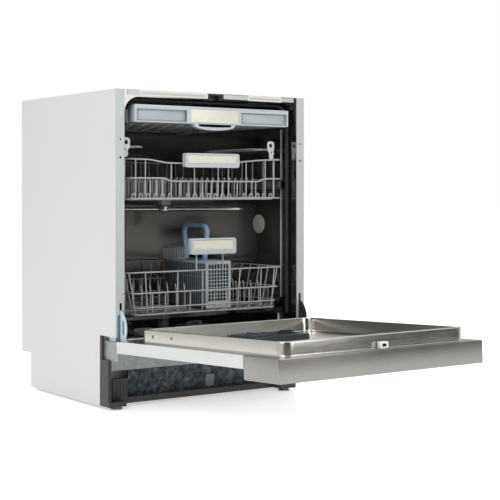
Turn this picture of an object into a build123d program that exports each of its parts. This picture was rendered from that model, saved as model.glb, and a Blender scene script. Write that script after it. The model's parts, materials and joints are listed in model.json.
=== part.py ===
"""Built-in dishwasher, 60 cm wide, with its door let down: cabinet, tub, base, door and racks.

Millimetres. X runs across the machine, -Y points at the user, +Z is up. The origin is on the
floor in the middle of the four feet. Depths "d" are measured back from the front flange.
The door is drawn shut and then turned down to its open stop about the hinge pins.
"""
import math
import os

from build123d import *

os.makedirs("parts", exist_ok=True)

# ---- overall sizes -------------------------------------------------------------------------
WIDTH = 598.0            # over the side panels, for a 600 mm niche
HEIGHT = 820.0           # with the feet screwed in
DEPTH = 550.0            # front flange to the back of the cabinet
OPEN_ANGLE = 87.5        # how far the open door is turned down from shut

# ---- sheet and wire ------------------------------------------------------------------------
PANEL = 1.2              # side panel sheet
SHEET = 1.0              # tub, liner and fascia sheet
WIRE = 2.0               # radius of the rack wire
THIN_WIRE = 1.5          # radius of shelf wire

# ---- base ----------------------------------------------------------------------------------
PANEL_FOOT = 6.0         # underside of the side panels
PLINTH_DEPTH = 82.0      # how far the lower front edge steps back
PLINTH_TOP = 190.0       # where the side panels come forward to the flange
NOTCH_DEPTH = 60.0       # rear notch for hoses
NOTCH_TOP = 102.0
TRAY_BOTTOM = 10.0

# ---- tub -----------------------------------------------------------------------------------
TUB_SIDE = 26.0          # cabinet side to the inside of the tub
TUB_TOP = 18.0           # cabinet top to the inside of the tub
TUB_RADIUS = 42.0
TUB_DEPTH = DEPTH - 20.0
FLOOR_Z = 180.0          # inside bottom of the tub
LEDGE_Z = 221.5          # side ledges the lower rack rolls on
LEDGE_WIDTH = 40.0
OPENING_Z = 190.0        # lower edge of the tub mouth
SEAL_START, SEAL_END = 30.0, 45.0
SEAL_WIDTH = 11.0

# ---- door ----------------------------------------------------------------------------------
PIVOT_D, PIVOT_Z = -31.0, 154.5
DOOR_GAP = 3.0           # flange plane to the inner face of the shut door
DOOR_THICK = 30.0
FASCIA_THICK = 54.0
FASCIA_HEIGHT = 131.0
DOOR_BOTTOM = 128.5
DOOR_TOP_GAP = 2.5       # shut door top to cabinet top
DOOR_SIDE_GAP = 1.5
RIM_HEIGHT = 32.0        # how far the liner rim stands in
RIM_WIDTH = 10.0
RIM_SIDE = 5.0           # tub side to liner rim
RIM_TOP = 24.5           # cabinet top to liner rim
RIM_BOTTOM = 192.0
RIM_RADIUS = 30.0
LINER_DEPTH = 37.0       # rim edge to liner floor

# ---- racks ---------------------------------------------------------------------------------
RACK_FRONT, RACK_BACK_GAP = 28.0, 45.0
WHEEL_R = 20.0
WHEEL_W = 10.0
ARM_DEPTH = 0.4765 * DEPTH    # spray arm centre behind the flange
ARM_R = 226.0 * min(WIDTH / 598.0, DEPTH / 550.0)

HALF = WIDTH / 2
BASE_BACK = DEPTH - NOTCH_DEPTH - 4
FOOT_X, FOOT_D = HALF - 31.0, 50.0
REAR_FOOT_D = BASE_BACK - 34.0
FRONT = -(FOOT_D + REAR_FOOT_D) / 2
TUB_X = HALF - TUB_SIDE
TUB_Z = HEIGHT - TUB_TOP
RIM_X = TUB_X - RIM_SIDE
RIM_Z = HEIGHT - RIM_TOP
DOOR_X = HALF - DOOR_SIDE_GAP
DOOR_TOP = HEIGHT - DOOR_TOP_GAP
STEP_Z = DOOR_TOP - FASCIA_HEIGHT
RACK_X = TUB_X - 24.0
RACK_BACK = DEPTH - RACK_BACK_GAP
EAR_X = HALF - 16.0      # inner face of the hinge ear plate
EAR_T = 3.0
MIRROR = (-1, 1)


def level(height):
    """A height inside the tub, kept in proportion when the cabinet is made taller or lower."""
    return LEDGE_Z + (height - LEDGE_Z) * (TUB_Z - LEDGE_Z) / (802.0 - LEDGE_Z)


def box(x0, x1, d0, d1, z0, z1):
    """A block between two X, two depths behind the flange and two heights."""
    size = (abs(x1 - x0), abs(d1 - d0), abs(z1 - z0))
    return Pos((x0 + x1) / 2, FRONT + (d0 + d1) / 2, (z0 + z1) / 2) * Box(*size)


def side_box(side, x0, x1, d0, d1, z0, z1):
    """The same on the left (-1) or right (+1), with X measured outwards from the middle."""
    return box(side * x0, side * x1, d0, d1, z0, z1)


def rod(start, end, radius):
    """A round bar between two points given as (x, depth, z)."""
    a = Vector(start[0], FRONT + start[1], start[2])
    b = Vector(end[0], FRONT + end[1], end[2])
    span = b - a
    return Plane(origin=(a + b) * 0.5, z_dir=span) * Cylinder(radius, span.length)


def upright(x, d, z0, z1, radius):
    return rod((x, d, z0), (x, d, z1), radius)


def arch(half, z0, z1, radius, d0, d1, open_foot=True):
    """A prism along Y with round upper corners, and square lower ones when open_foot."""
    plane = Plane(origin=(0, FRONT + d0, (z0 + z1) / 2), x_dir=(1, 0, 0), z_dir=(0, -1, 0))
    outline = RectangleRounded(2 * half, z1 - z0, radius)
    if open_foot:
        outline += Pos(0, -(z1 - z0) / 4) * Rectangle(2 * half, (z1 - z0) / 2)
    return extrude(plane * outline, amount=-(d1 - d0))


def yz_plate(points, x0, x1):
    """A plate across X from an outline of (depth, z) points."""
    outline = Polygon(*[(FRONT + d, z) for d, z in points], align=None)
    plane = Plane(origin=(x0, 0, 0), x_dir=(0, 1, 0), z_dir=(1, 0, 0))
    return extrude(plane * outline, amount=x1 - x0, dir=(1, 0, 0))


def fuse(pieces):
    pieces = list(pieces)
    return pieces[0] + pieces[1:] if len(pieces) > 1 else pieces[0]


def save(name, *bodies):
    solids = [solid for body in bodies for solid in body.solids()]
    shape = solids[0] if len(solids) == 1 else Compound(children=solids)
    export_step(shape, f"parts/{name}.step")


def save_door(name, *bodies):
    """Turn what was drawn on the shut door down to the open stop, and save it."""
    pins = Axis((0, FRONT + PIVOT_D, PIVOT_Z), (1, 0, 0))
    save(name, *[body.rotate(pins, OPEN_ANGLE) for body in bodies])


# =============================================================================================
# Cabinet
# =============================================================================================

# Side panels: painted sheet with a plinth step in front, a hose notch behind and folded edges.
def side_panel(side):
    outline = [(0, PLINTH_TOP), (0, HEIGHT), (DEPTH, HEIGHT), (DEPTH, NOTCH_TOP),
               (DEPTH - NOTCH_DEPTH, NOTCH_TOP), (DEPTH - NOTCH_DEPTH, PANEL_FOOT),
               (PLINTH_DEPTH, PANEL_FOOT), (PLINTH_DEPTH, PLINTH_TOP)]
    x0, x1 = sorted((side * HALF, side * (HALF - PANEL)))
    inner = HALF - PANEL
    return fuse([
        yz_plate(outline, x0, x1),
        side_box(side, inner - 12, inner, 45, DEPTH - PANEL, HEIGHT - PANEL, HEIGHT),
        side_box(side, inner - 10, inner, DEPTH - PANEL, DEPTH, NOTCH_TOP, HEIGHT)])


save("side_panel_left", side_panel(-1))
save("side_panel_right", side_panel(1))

# Tub shell: stainless sides and roof in one bend, with the front flange around the mouth.
# The flange is slotted for the hinge ears and for the striker.
shell = (arch(TUB_X + SHEET, LEDGE_Z, TUB_Z + SHEET, TUB_RADIUS + SHEET, 1, TUB_DEPTH)
         - arch(TUB_X, LEDGE_Z - 10, TUB_Z, TUB_RADIUS, 0, TUB_DEPTH + 1))
flange = (box(-HALF + PANEL + 0.2, HALF - PANEL - 0.2, 0, 1, 178, HEIGHT - 1.4)
          - arch(TUB_X, OPENING_Z, TUB_Z, TUB_RADIUS, -1, 2))
tub_shell = shell + flange
tub_shell -= box(-17, 17, -1, 20, TUB_Z - 8, HEIGHT - 6)
for side in MIRROR:
    tub_shell -= side_box(side, EAR_X - 2.5, EAR_X + EAR_T + 2.5, -1, 2, 170, 277)
# Tub back: one pressed sheet closing the shell.
save("tub_back", arch(TUB_X + SHEET, FLOOR_Z - SHEET, TUB_Z + SHEET, TUB_RADIUS + SHEET,
                      TUB_DEPTH, TUB_DEPTH + SHEET))

# Tub floor: a pan with a ledge each side, a hole for the sump, for the arm post and the salt.
LEDGE_X = TUB_X - LEDGE_WIDTH
SUMP = (75.0, ARM_DEPTH - 47.0)
SUMP_R = 62.0
SALT = (-150.0 * WIDTH / 598.0, ARM_DEPTH - 142.0 * DEPTH / 550.0)
LEDGE_START = RIM_HEIGHT - DOOR_GAP + 3.0     # clear of the shut door's rim
floor_parts = [box(-LEDGE_X - SHEET, LEDGE_X + SHEET, 1, TUB_DEPTH, FLOOR_Z - SHEET, FLOOR_Z),
               box(-TUB_X - SHEET, TUB_X + SHEET, 1, LEDGE_START, FLOOR_Z - SHEET, FLOOR_Z)]
for side in MIRROR:
    floor_parts += [
        side_box(side, LEDGE_X, LEDGE_X + SHEET, LEDGE_START - SHEET, TUB_DEPTH,
                 FLOOR_Z - SHEET, LEDGE_Z),
        side_box(side, LEDGE_X, TUB_X + SHEET, LEDGE_START - SHEET, TUB_DEPTH,
                 LEDGE_Z - SHEET, LEDGE_Z),
        side_box(side, LEDGE_X, TUB_X + SHEET, LEDGE_START - SHEET, LEDGE_START,
                 FLOOR_Z - SHEET, LEDGE_Z),
        side_box(side, TUB_X, TUB_X + SHEET, 1, LEDGE_START, FLOOR_Z - SHEET, LEDGE_Z)]
tub_floor = fuse(floor_parts)
tub_floor -= upright(SUMP[0], SUMP[1], FLOOR_Z - 5, FLOOR_Z + 5, SUMP_R - 4)
tub_floor -= upright(0, ARM_DEPTH, FLOOR_Z - 5, FLOOR_Z + 5, 18)
tub_floor -= upright(SALT[0], SALT[1], FLOOR_Z - 5, FLOOR_Z + 5, 25)
save("tub_floor", tub_floor)

# Door seal: a rubber band around the sides and roof of the mouth.
seal_z = TUB_Z - SEAL_WIDTH - 2
door_gasket = (arch(TUB_X, LEDGE_Z, TUB_Z, TUB_RADIUS, SEAL_START, SEAL_END)
               - arch(TUB_X - SEAL_WIDTH, LEDGE_Z - 10, seal_z, TUB_RADIUS - SEAL_WIDTH,
                      SEAL_START - 1, SEAL_END + 1))
save("door_gasket", door_gasket)

# Mounting strips: the two front uprights the cabinet is screwed to its neighbours through.
STRIP_HOLE_X = HALF - 13.5
STRIP_W = 25.0
STRIP_HOLES = ((HEIGHT - 128.0, 2.5), (HEIGHT - 174.0, 3.0))
strips = []
for side in MIRROR:
    strip = side_box(side, HALF - STRIP_W, HALF, -2, 0, PLINTH_TOP, HEIGHT)
    strip -= side_box(side, EAR_X - 2, EAR_X + EAR_T + 2, -3, 1, PLINTH_TOP - 1, 277)
    for z, radius in STRIP_HOLES:
        cut = rod((side * STRIP_HOLE_X, -3, z), (side * STRIP_HOLE_X, 2, z), radius)
        strip -= cut
    strips.append(strip)
save("mounting_strips", *strips)

# The strips' holes go on through the flange behind them.
for side in MIRROR:
    for z, radius in STRIP_HOLES:
        cut = rod((side * STRIP_HOLE_X, -1, z), (side * STRIP_HOLE_X, 2, z), radius + 0.5)
        tub_shell -= cut
save("tub_shell", tub_shell)

# Top bar across the front, with two screw holes into the worktop above.
TOP_SCREW_X = HALF - 99.0
top_crossbar = box(-HALF + PANEL, HALF - PANEL, 1, 40, HEIGHT - 1.4, HEIGHT)
top_crossbar += box(-HALF + PANEL, HALF - PANEL, 38.6, 40, HEIGHT - 12, HEIGHT)
for side in MIRROR:
    top_crossbar -= upright(side * TOP_SCREW_X, 20, HEIGHT - 5, HEIGHT + 5, 2.5)

# Two light strips on the flange over the mouth, left and right of the lock.
strip_z0, strip_z1 = TUB_Z + 3, HEIGHT
save("worktop_brackets",
     box(-HALF + 69, -22, -2, 0, strip_z0, strip_z1) - box(-HALF + 75, -28, -3, -1, strip_z0 + 4,
                                                         strip_z1 - 6),
     box(110, HALF - 78, -2, 0, strip_z0, strip_z1) - box(116, HALF - 84, -3, -1, strip_z0 + 4,
                                                        strip_z1 - 6))

# Door lock over the mouth: a housing with a slot the striker enters.
door_lock = box(-26, 26, 1, 36, TUB_Z + SHEET, HEIGHT - 1.4)
door_lock -= box(-17, 17, 0, 20, TUB_Z, HEIGHT - 5.5)
save("door_lock", door_lock)

# Rear frame and front cross panel of the steel chassis.
rear = fuse([
    box(-HALF + PANEL, HALF - PANEL, DEPTH - 16, DEPTH - PANEL, HEIGHT - 30, HEIGHT - PANEL),
    box(-HALF + PANEL, HALF - PANEL, DEPTH - 16, DEPTH - PANEL, NOTCH_TOP, NOTCH_TOP + 26),
    *[side_box(s, HALF - 13, HALF - PANEL, DEPTH - 16, DEPTH - PANEL, NOTCH_TOP, HEIGHT - PANEL)
      for s in MIRROR]])
rear -= box(-HALF + 14, HALF - 14, DEPTH - 15, DEPTH, HEIGHT - 29, HEIGHT - 2)
rear -= box(-HALF + 14, HALF - 14, DEPTH - 15, DEPTH, NOTCH_TOP + 1, NOTCH_TOP + 25)
front_panel = fuse([
    box(-EAR_X + 3, EAR_X - 3, 86, 87.2, 93, 178),
    box(-EAR_X + 3, EAR_X - 3, 1, 87.2, 176.8, 178)])
front_panel -= box(-200, 200, 30, 70, 176, 179)
save("chassis_frame", rear, front_panel, top_crossbar)

# Insulation mat glued over the tub.
mat_z = FLOOR_Z + 60
insulation = (arch(TUB_X + 4, mat_z, TUB_Z + 4, TUB_RADIUS + 4, 60, TUB_DEPTH - 4)
              - arch(TUB_X + SHEET, mat_z - 5, TUB_Z + SHEET, TUB_RADIUS + SHEET, 50, TUB_DEPTH))
save("insulation_mat", insulation)

# =============================================================================================
# Base and hydraulics
# =============================================================================================

BASE_X = HALF - PANEL
FOOT_R = 16.0
STEM_R = 5.0

# Base tray: moulded floor with low walls, a front rail, corner posts and foot sleeves.
base = [box(-BASE_X, BASE_X, 84, BASE_BACK, TRAY_BOTTOM, 13),
        box(-BASE_X, BASE_X, BASE_BACK - 3, BASE_BACK, TRAY_BOTTOM, 30),
        box(-HALF + 1, HALF - 1, 74, 84, 8, 24)]
for side in MIRROR:
    base += [
        side_box(side, BASE_X - 3, BASE_X, 84, BASE_BACK, TRAY_BOTTOM, 40),
        side_box(side, HALF - 52, HALF - 1, 34, 84, 8, 20),
        side_box(side, HALF - 11, HALF - 1, 40, 80, 8, 128),
        side_box(side, HALF - 7, HALF - 1, 72, 81, 128, 188),
        side_box(side, HALF - 73, HALF - 27, 66, 84, 20, 75),
        upright(side * FOOT_X, REAR_FOOT_D, TRAY_BOTTOM, 28, 12)]
base_tray = fuse(base)
base_tray -= box(180, 212, BASE_BACK - 4, BASE_BACK + 1, 14, 31)
base_tray += (box(178, 214, BASE_BACK - 22, BASE_BACK, 13, 44)
              - box(181, 211, BASE_BACK - 18, BASE_BACK + 1, 17, 40))
for side in MIRROR:
    base_tray -= upright(side * FOOT_X, FOOT_D, 0, 30, STEM_R + 0.2)
    base_tray -= upright(side * FOOT_X, REAR_FOOT_D, 0, 24, STEM_R + 0.2)
save("base_tray", base_tray)

# Levelling feet: a round pad on a threaded stem.
feet = []
for side in MIRROR:
    for x, d in ((FOOT_X, FOOT_D), (FOOT_X, REAR_FOOT_D)):
        pad = upright(side * x, d, 0, 5, FOOT_R) + upright(side * x, d, 4, 8, 9)
        feet.append(pad + upright(side * x, d, 4, 20, STEM_R))
save("levelling_feet", *feet)

# Felt mat hung in front of the pumps.
save("sound_mat", box(-HALF + 94, HALF - 30, 96, 104, 13, 93))

# Hinge brackets: a plate each side on the corner post, carrying the pin the door turns on.
PIN_R = 3.0
brackets = []
for side in MIRROR:
    x0, x1 = EAR_X + 5, EAR_X + 8
    plate = fuse([side_box(side, x0, x1, PIVOT_D, 2, PIVOT_Z - 6, PIVOT_Z + 6),
                  side_box(side, x0, x1, 2, 72, 128, 176),
                  rod((side * x0, PIVOT_D, PIVOT_Z), (side * x1, PIVOT_D, PIVOT_Z), 6),
                  rod((side * (EAR_X - 2), PIVOT_D, PIVOT_Z), (side * x1, PIVOT_D, PIVOT_Z),
                      PIN_R)])
    brackets.append(plate)
save("hinge_brackets", *brackets)

# Sump under the floor, with the post the lower arm turns on.
sump = fuse([upright(SUMP[0], SUMP[1], 116, FLOOR_Z - SHEET, SUMP_R),
             box(-22, SUMP[0], SUMP[1], ARM_DEPTH + 22, 172, FLOOR_Z - SHEET)])
sump -= upright(SUMP[0], SUMP[1], 119, FLOOR_Z, SUMP_R - 4)
sump += upright(0, ARM_DEPTH, 172, FLOOR_Z + 18, 17) + upright(0, ARM_DEPTH, 190, 208, 9)
sump += upright(SUMP[0], SUMP[1], 118, 140, 12)
save("sump", sump)

# Micro filter: a cylinder with a grip, standing in the sump.
micro_filter = fuse([upright(SUMP[0], SUMP[1], 150, FLOOR_Z + 1, 34),
                     upright(SUMP[0], SUMP[1], FLOOR_Z, FLOOR_Z + 3, 55),
                     box(SUMP[0] - 26, SUMP[0] + 26, SUMP[1] - 4, SUMP[1] + 4, 182, 194)])
micro_filter -= upright(SUMP[0], SUMP[1], 145, 178, 31)
save("micro_filter", micro_filter)

# Wash pump below the sump and drain pump beside it, with its spigot at the back.
PUMP_Z = 72.0
wash_pump = fuse([
    rod((SUMP[0] + 10, SUMP[1], PUMP_Z), (SUMP[0] + 40, SUMP[1], PUMP_Z), 43),
    rod((SUMP[0] + 40, SUMP[1], PUMP_Z), (SUMP[0] + 128, SUMP[1], PUMP_Z), 36),
    upright(SUMP[0] + 25, SUMP[1], PUMP_Z, 116, 16)])
save("wash_pump", wash_pump)

SPIGOT_R = 9.5
DRAIN_X, DRAIN_Z = -62.0, 70.0
SPIGOT_START, SPIGOT_END = BASE_BACK - 8, BASE_BACK + 16
drain_pump = fuse([
    rod((DRAIN_X, SUMP[1] - 40, DRAIN_Z), (DRAIN_X, SUMP[1] + 30, DRAIN_Z), 28),
    rod((DRAIN_X, SUMP[1] + 29, DRAIN_Z), (DRAIN_X, SPIGOT_START, DRAIN_Z), SPIGOT_R + 1.5),
    rod((DRAIN_X, SPIGOT_START - 1, DRAIN_Z), (DRAIN_X, SPIGOT_END, DRAIN_Z), SPIGOT_R),
    upright(DRAIN_X, SUMP[1], DRAIN_Z, 140, 10),
    rod((DRAIN_X, SUMP[1], 140), (SUMP[0] - SUMP_R, SUMP[1], 140), 10)])
drain_pump -= rod((DRAIN_X, SUMP[1] + 40, DRAIN_Z), (DRAIN_X, SPIGOT_END + 1, DRAIN_Z), 7)
save("drain_pump", drain_pump)

# Softener with its salt neck, and the screw cap that stands in the tub.
SALT_Z = 150.0
softener = fuse([box(-HALF + 44, -118, 150, BASE_BACK - 66, 16, SALT_Z),
                 upright(SALT[0], SALT[1] + 0, 120, FLOOR_Z - SHEET, 29),
                 box(SALT[0] - 30, SALT[0] + 30, SALT[1] - 29, 160, 100, SALT_Z)])
softener -= upright(SALT[0], SALT[1], 104, FLOOR_Z, 23)
softener -= box(-HALF + 47, -121, 153, BASE_BACK - 69, 19, SALT_Z - 3)
save("softener_tank", softener)
salt_cap = fuse([upright(SALT[0], SALT[1], FLOOR_Z, FLOOR_Z + 9, 33),
                 upright(SALT[0], SALT[1], FLOOR_Z - 16, FLOOR_Z + 1, 22.95),
                 box(SALT[0] - 28, SALT[0] + 28, SALT[1] - 4, SALT[1] + 4, FLOOR_Z + 8,
                     FLOOR_Z + 15)])
save("salt_cap", salt_cap)

# Water inlet valve with its hose thread.
INLET = (-HALF + 94, 62.0)
INLET_R = 13.2
water_inlet_valve = fuse([
    box(INLET[0] - 22, INLET[0] + 22, BASE_BACK - 50, BASE_BACK - 4, 40, 92),
    rod((INLET[0], BASE_BACK - 6, INLET[1]), (INLET[0], BASE_BACK + 14, INLET[1]), INLET_R)])
water_inlet_valve -= rod((INLET[0], BASE_BACK - 2, INLET[1]),
                         (INLET[0], BASE_BACK + 15, INLET[1]), 9)
save("water_inlet_valve", water_inlet_valve)

# Feed duct up the back of the tub, with the fixed sprayer under the roof.
DUCT_D0 = TUB_DEPTH - 20
SPRAY_R = 9.0
UP_Z0, UP_Z1, UP_Z2 = level(541), level(590), level(646)
SPRAY_Z = UP_Z0 - 2.7 * WIRE - 1.6 - SPRAY_R
feed_duct = fuse([
    box(-20, 20, DUCT_D0, TUB_DEPTH, FLOOR_Z, TUB_Z - 4),
    box(-14, 14, ARM_DEPTH - 6, DUCT_D0 + 2, TUB_Z - 12, TUB_Z - 4),
    upright(0, ARM_DEPTH, TUB_Z - 16, TUB_Z - 4, 26),
    rod((0, RACK_BACK + WIRE + 0.5, SPRAY_Z), (0, DUCT_D0 + 2, SPRAY_Z), SPRAY_R + 4)])
save("feed_duct", feed_duct)

# Fixed runners on the tub's sides, for the top tray and for the upper rack.
TRAY_RAIL_Z = TUB_Z - 52.0
RACK_RAIL_Z = level(579)


def runner(side, reach, z, height):
    return fuse([side_box(side, TUB_X - 2, TUB_X, 50, TUB_DEPTH - 14, z - height, z + height),
                 side_box(side, reach, TUB_X, 50, TUB_DEPTH - 14, z + height - 3, z + height),
                 side_box(side, reach, TUB_X, 50, TUB_DEPTH - 14, z - height, z - height + 3)])


save("tray_runners", *[runner(s, TUB_X - 22, TRAY_RAIL_Z, 9) for s in MIRROR])
save("upper_rails", *[runner(s, TUB_X - 18, RACK_RAIL_Z, 12) for s in MIRROR])

# =============================================================================================
# Door, drawn shut
# =============================================================================================

INNER, OUTER = -DOOR_GAP, -DOOR_GAP - DOOR_THICK
FACE = -DOOR_GAP - FASCIA_THICK
HINGE_CUT = PIVOT_Z + 11.5

# Outer panel: a painted pan with folded sides, notched at the hinges, with four screw holes.
outer_panel = fuse([
    box(-DOOR_X, DOOR_X, OUTER, OUTER + SHEET, DOOR_BOTTOM, STEP_Z),
    box(-DOOR_X, DOOR_X, OUTER, INNER - SHEET, DOOR_BOTTOM, DOOR_BOTTOM + SHEET),
    *[side_box(s, DOOR_X - SHEET, DOOR_X, OUTER, INNER - SHEET, DOOR_BOTTOM, STEP_Z)
      for s in MIRROR]])
DOOR_SCREW_X = HALF - 99.0
DOOR_SCREWS = (DOOR_BOTTOM + 120, STEP_Z - 66)
for side in MIRROR:
    outer_panel -= side_box(side, EAR_X - 2, EAR_X + 10, OUTER - 1, INNER, 120, HINGE_CUT)
    for z in DOOR_SCREWS:
        outer_panel -= rod((side * DOOR_SCREW_X, OUTER - 1, z),
                           (side * DOOR_SCREW_X, OUTER + 2, z), 2.5)
save_door("door_outer_panel", outer_panel)

# Liner: one stainless pressing, a flat flange, a hollow rim standing in, and a dished floor.
rim_end = RIM_HEIGHT - DOOR_GAP
liner_floor = rim_end - LINER_DEPTH


def rim_box(inset, d0, d1):
    """A round-cornered prism as wide as the rim less an inset."""
    plane = Plane(origin=(0, FRONT + d0, (RIM_BOTTOM + RIM_Z) / 2), x_dir=(1, 0, 0),
                  z_dir=(0, -1, 0))
    outline = RectangleRounded(2 * (RIM_X - inset), RIM_Z - RIM_BOTTOM - 2 * inset,
                               RIM_RADIUS - 0.8 * inset)
    return extrude(plane * outline, amount=-(d1 - d0))


liner = box(-DOOR_X, DOOR_X, INNER - SHEET, INNER, DOOR_BOTTOM + SHEET, STEP_Z)
for side in MIRROR:
    liner -= side_box(side, EAR_X - 3, HALF, INNER - 2, INNER + 1, 120, HINGE_CUT)
liner += rim_box(0, INNER - SHEET, rim_end)
liner += rim_box(RIM_WIDTH - SHEET, liner_floor - SHEET, INNER)
liner -= (rim_box(SHEET, liner_floor - 3, rim_end - SHEET)
          - rim_box(RIM_WIDTH - SHEET, liner_floor - 4, rim_end))
liner -= rim_box(RIM_WIDTH, liner_floor, rim_end + 1)
save_door("door_liner", liner)

# Fascia: a folded stainless box along the top of the door, deeper than the door itself.
fascia = box(-DOOR_X, DOOR_X, FACE, INNER, STEP_Z, DOOR_TOP)
fascia -= box(-DOOR_X + SHEET, DOOR_X - SHEET, FACE + SHEET, INNER - SHEET, STEP_Z + SHEET,
              DOOR_TOP - SHEET)
fascia -= box(-DOOR_X + SHEET, DOOR_X - SHEET, OUTER + SHEET, INNER - SHEET, STEP_Z - 1,
              STEP_Z + 2)
fascia -= rim_box(0, INNER - 2, INNER + 1)
BUTTON_R = 8.0
BUTTONS = {"power_button": -HALF + 47, "program_button": HALF - 77, "start_button": HALF - 47}
BUTTON_Z = DOOR_TOP - 62
for x in BUTTONS.values():
    fascia -= rod((x, FACE - 1, BUTTON_Z), (x, FACE + 2, BUTTON_Z), BUTTON_R + 0.15)
save_door("door_fascia", fascia)
for name, x in BUTTONS.items():
    save_door(name, rod((x, FACE - 1.5, BUTTON_Z), (x, FACE + 8, BUTTON_Z), BUTTON_R)
              + rod((x, FACE + 1.5, BUTTON_Z), (x, FACE + 4, BUTTON_Z), BUTTON_R + 3))

# Control module behind the fascia.
control_x = HALF - 99
control = (box(-control_x, control_x, FACE + SHEET, FACE + 41, STEP_Z + 16, DOOR_TOP - 14)
           - box(-control_x + 2, control_x - 2, FACE + 3, FACE + 42, STEP_Z + 18, DOOR_TOP - 16))
save_door("control_module", control)

# Detergent dispenser on the liner floor, with its sliding lid and the rinse aid cap.
DISP_Z = PIVOT_Z + 117.0
CAP = (90.0, DISP_Z + 52)
housing = box(-64, 122, liner_floor, liner_floor + 12, DISP_Z, DISP_Z + 118)
housing -= box(-54, 16, liner_floor + 4, liner_floor + 13, DISP_Z + 20, DISP_Z + 98)
housing -= rod((CAP[0], liner_floor + 4, CAP[1]), (CAP[0], liner_floor + 13, CAP[1]), 17.05)
save_door("dispenser_housing", housing)
save_door("dispenser_lid",
          box(-59, 21, liner_floor + 12.2, liner_floor + 15, DISP_Z + 14, DISP_Z + 104)
          + box(-22, -10, liner_floor + 14, liner_floor + 18, DISP_Z + 30, DISP_Z + 88))
rinse_cap = fuse([
    rod((CAP[0], liner_floor + 5, CAP[1]), (CAP[0], liner_floor + 13, CAP[1]), 17),
    rod((CAP[0], liner_floor + 12.2, CAP[1]), (CAP[0], liner_floor + 16, CAP[1]), 21),
    box(CAP[0] - 17, CAP[0] + 17, liner_floor + 15, liner_floor + 20, CAP[1] - 3, CAP[1] + 3)])
save_door("rinse_cap", rinse_cap)

# Striker on the fascia, a block with a hole that the lock catches.
striker_z = RIM_Z + 3.5
striker = box(-12, 12, INNER, 13, striker_z, striker_z + 11)
striker -= box(-6, 6, INNER + 5, INNER + 11, striker_z - 1, striker_z + 12)
save_door("door_striker", striker)

# Hinge arms: steel plates in the door's sides, each with a bored lug and the round ear.
EAR_D, EAR_Z, EAR_R = 28.5, 109.0, 50.0
arms = []
for side in MIRROR:
    x0, x1 = EAR_X, EAR_X + EAR_T
    lo, hi = sorted((side * x0, side * x1))
    slope = math.hypot(EAR_D - PIVOT_D, EAR_Z - PIVOT_Z)
    nx, nz = -(EAR_Z - PIVOT_Z) / slope * 11, (EAR_D - PIVOT_D) / slope * 11
    web = [(PIVOT_D + 5, PIVOT_Z + 2), (PIVOT_D + 5, PIVOT_Z + 28), (EAR_D + nx, EAR_Z + nz),
           (EAR_D - nx, EAR_Z - nz), (PIVOT_D + 4, PIVOT_Z - 4)]
    arm = fuse([rod((lo, PIVOT_D, PIVOT_Z), (hi, PIVOT_D, PIVOT_Z), 6),
                side_box(side, x0, x1, PIVOT_D - 1, PIVOT_D + 22, PIVOT_Z, STEP_Z - 260),
                yz_plate(web, lo, hi),
                rod((lo, EAR_D, EAR_Z), (hi, EAR_D, EAR_Z), EAR_R)])
    arm -= rod((lo - 1, PIVOT_D, PIVOT_Z), (hi + 1, PIVOT_D, PIVOT_Z), PIN_R + 0.05)
    arms.append(arm)
save_door("hinge_arms", *arms)

# =============================================================================================
# Top tray
# =============================================================================================

TRAY_FRONT, TRAY_BACK = -3.0, DEPTH - 62.0
TRAY_X = TUB_X - 29.0
TRAY_Z0, TRAY_Z1 = TUB_Z - 64.0, TUB_Z - 19.0

# Tray: a shallow slatted pan with side flanges that run in the runners.
slats = [box(-TRAY_X, TRAY_X, TRAY_FRONT + 26, TRAY_FRONT + 29, TRAY_Z0, TRAY_Z1 - 3),
         box(-TRAY_X, TRAY_X, TRAY_BACK - 3, TRAY_BACK, TRAY_Z0, TRAY_Z1 - 3)]
for side in MIRROR:
    slats.append(side_box(side, TRAY_X - 3, TRAY_X, TRAY_FRONT + 26, TRAY_BACK, TRAY_Z0,
                          TRAY_Z1 - 3))
    slats.append(side_box(side, TRAY_X - 1, TUB_X - 13, 52, TRAY_BACK, TRAY_RAIL_Z - 5,
                          TRAY_RAIL_Z + 5))
slat_count = 13
pitch = (2 * TRAY_X - 3) / slat_count
for index in range(1, slat_count):
    x = -TRAY_X + 1.5 + index * pitch
    slats.append(box(x - 5, x + 5, TRAY_FRONT + 26, TRAY_BACK, TRAY_Z0, TRAY_Z0 + 3))
for d in (160.0, 300.0):
    slats.append(box(-TRAY_X, TRAY_X, d * DEPTH / 550 - 3, d * DEPTH / 550 + 3, TRAY_Z0,
                     TRAY_Z0 + 6))
save("tray_frame", fuse(slats))

# Front bar of the tray with two recessed fields, and its grip.
GRIP_X = 78.0
bar = box(-TRAY_X, TRAY_X, TRAY_FRONT, TRAY_FRONT + 26, TRAY_Z0, TRAY_Z1)
bar -= box(-TRAY_X + 3, TRAY_X - 3, TRAY_FRONT + 4, TRAY_FRONT + 27, TRAY_Z0 - 1, TRAY_Z1 - 4)
for side in MIRROR:
    bar -= side_box(side, GRIP_X + 8, TRAY_X - 6, TRAY_FRONT - 1, TRAY_FRONT + 1.5,
                    TRAY_Z0 + 4, TRAY_Z1 - 14)
bar -= box(-GRIP_X, GRIP_X, TRAY_FRONT - 1, TRAY_FRONT + 1, TRAY_Z0, TRAY_Z1 - 9)
save("tray_front", bar)
save("tray_handle",
     box(-GRIP_X, GRIP_X, TRAY_FRONT - 2.5, TRAY_FRONT + 1, TRAY_Z0 + 1, TRAY_Z1 - 10)
     + box(-66, 66, TRAY_FRONT - 2, TRAY_FRONT + 16, TRAY_Z0 - 18, TRAY_Z0)
     - box(-58, 58, TRAY_FRONT + 2, TRAY_FRONT + 20, TRAY_Z0 - 12, TRAY_Z0 - 3))


# =============================================================================================
# Racks of bent wire
# =============================================================================================

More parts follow.
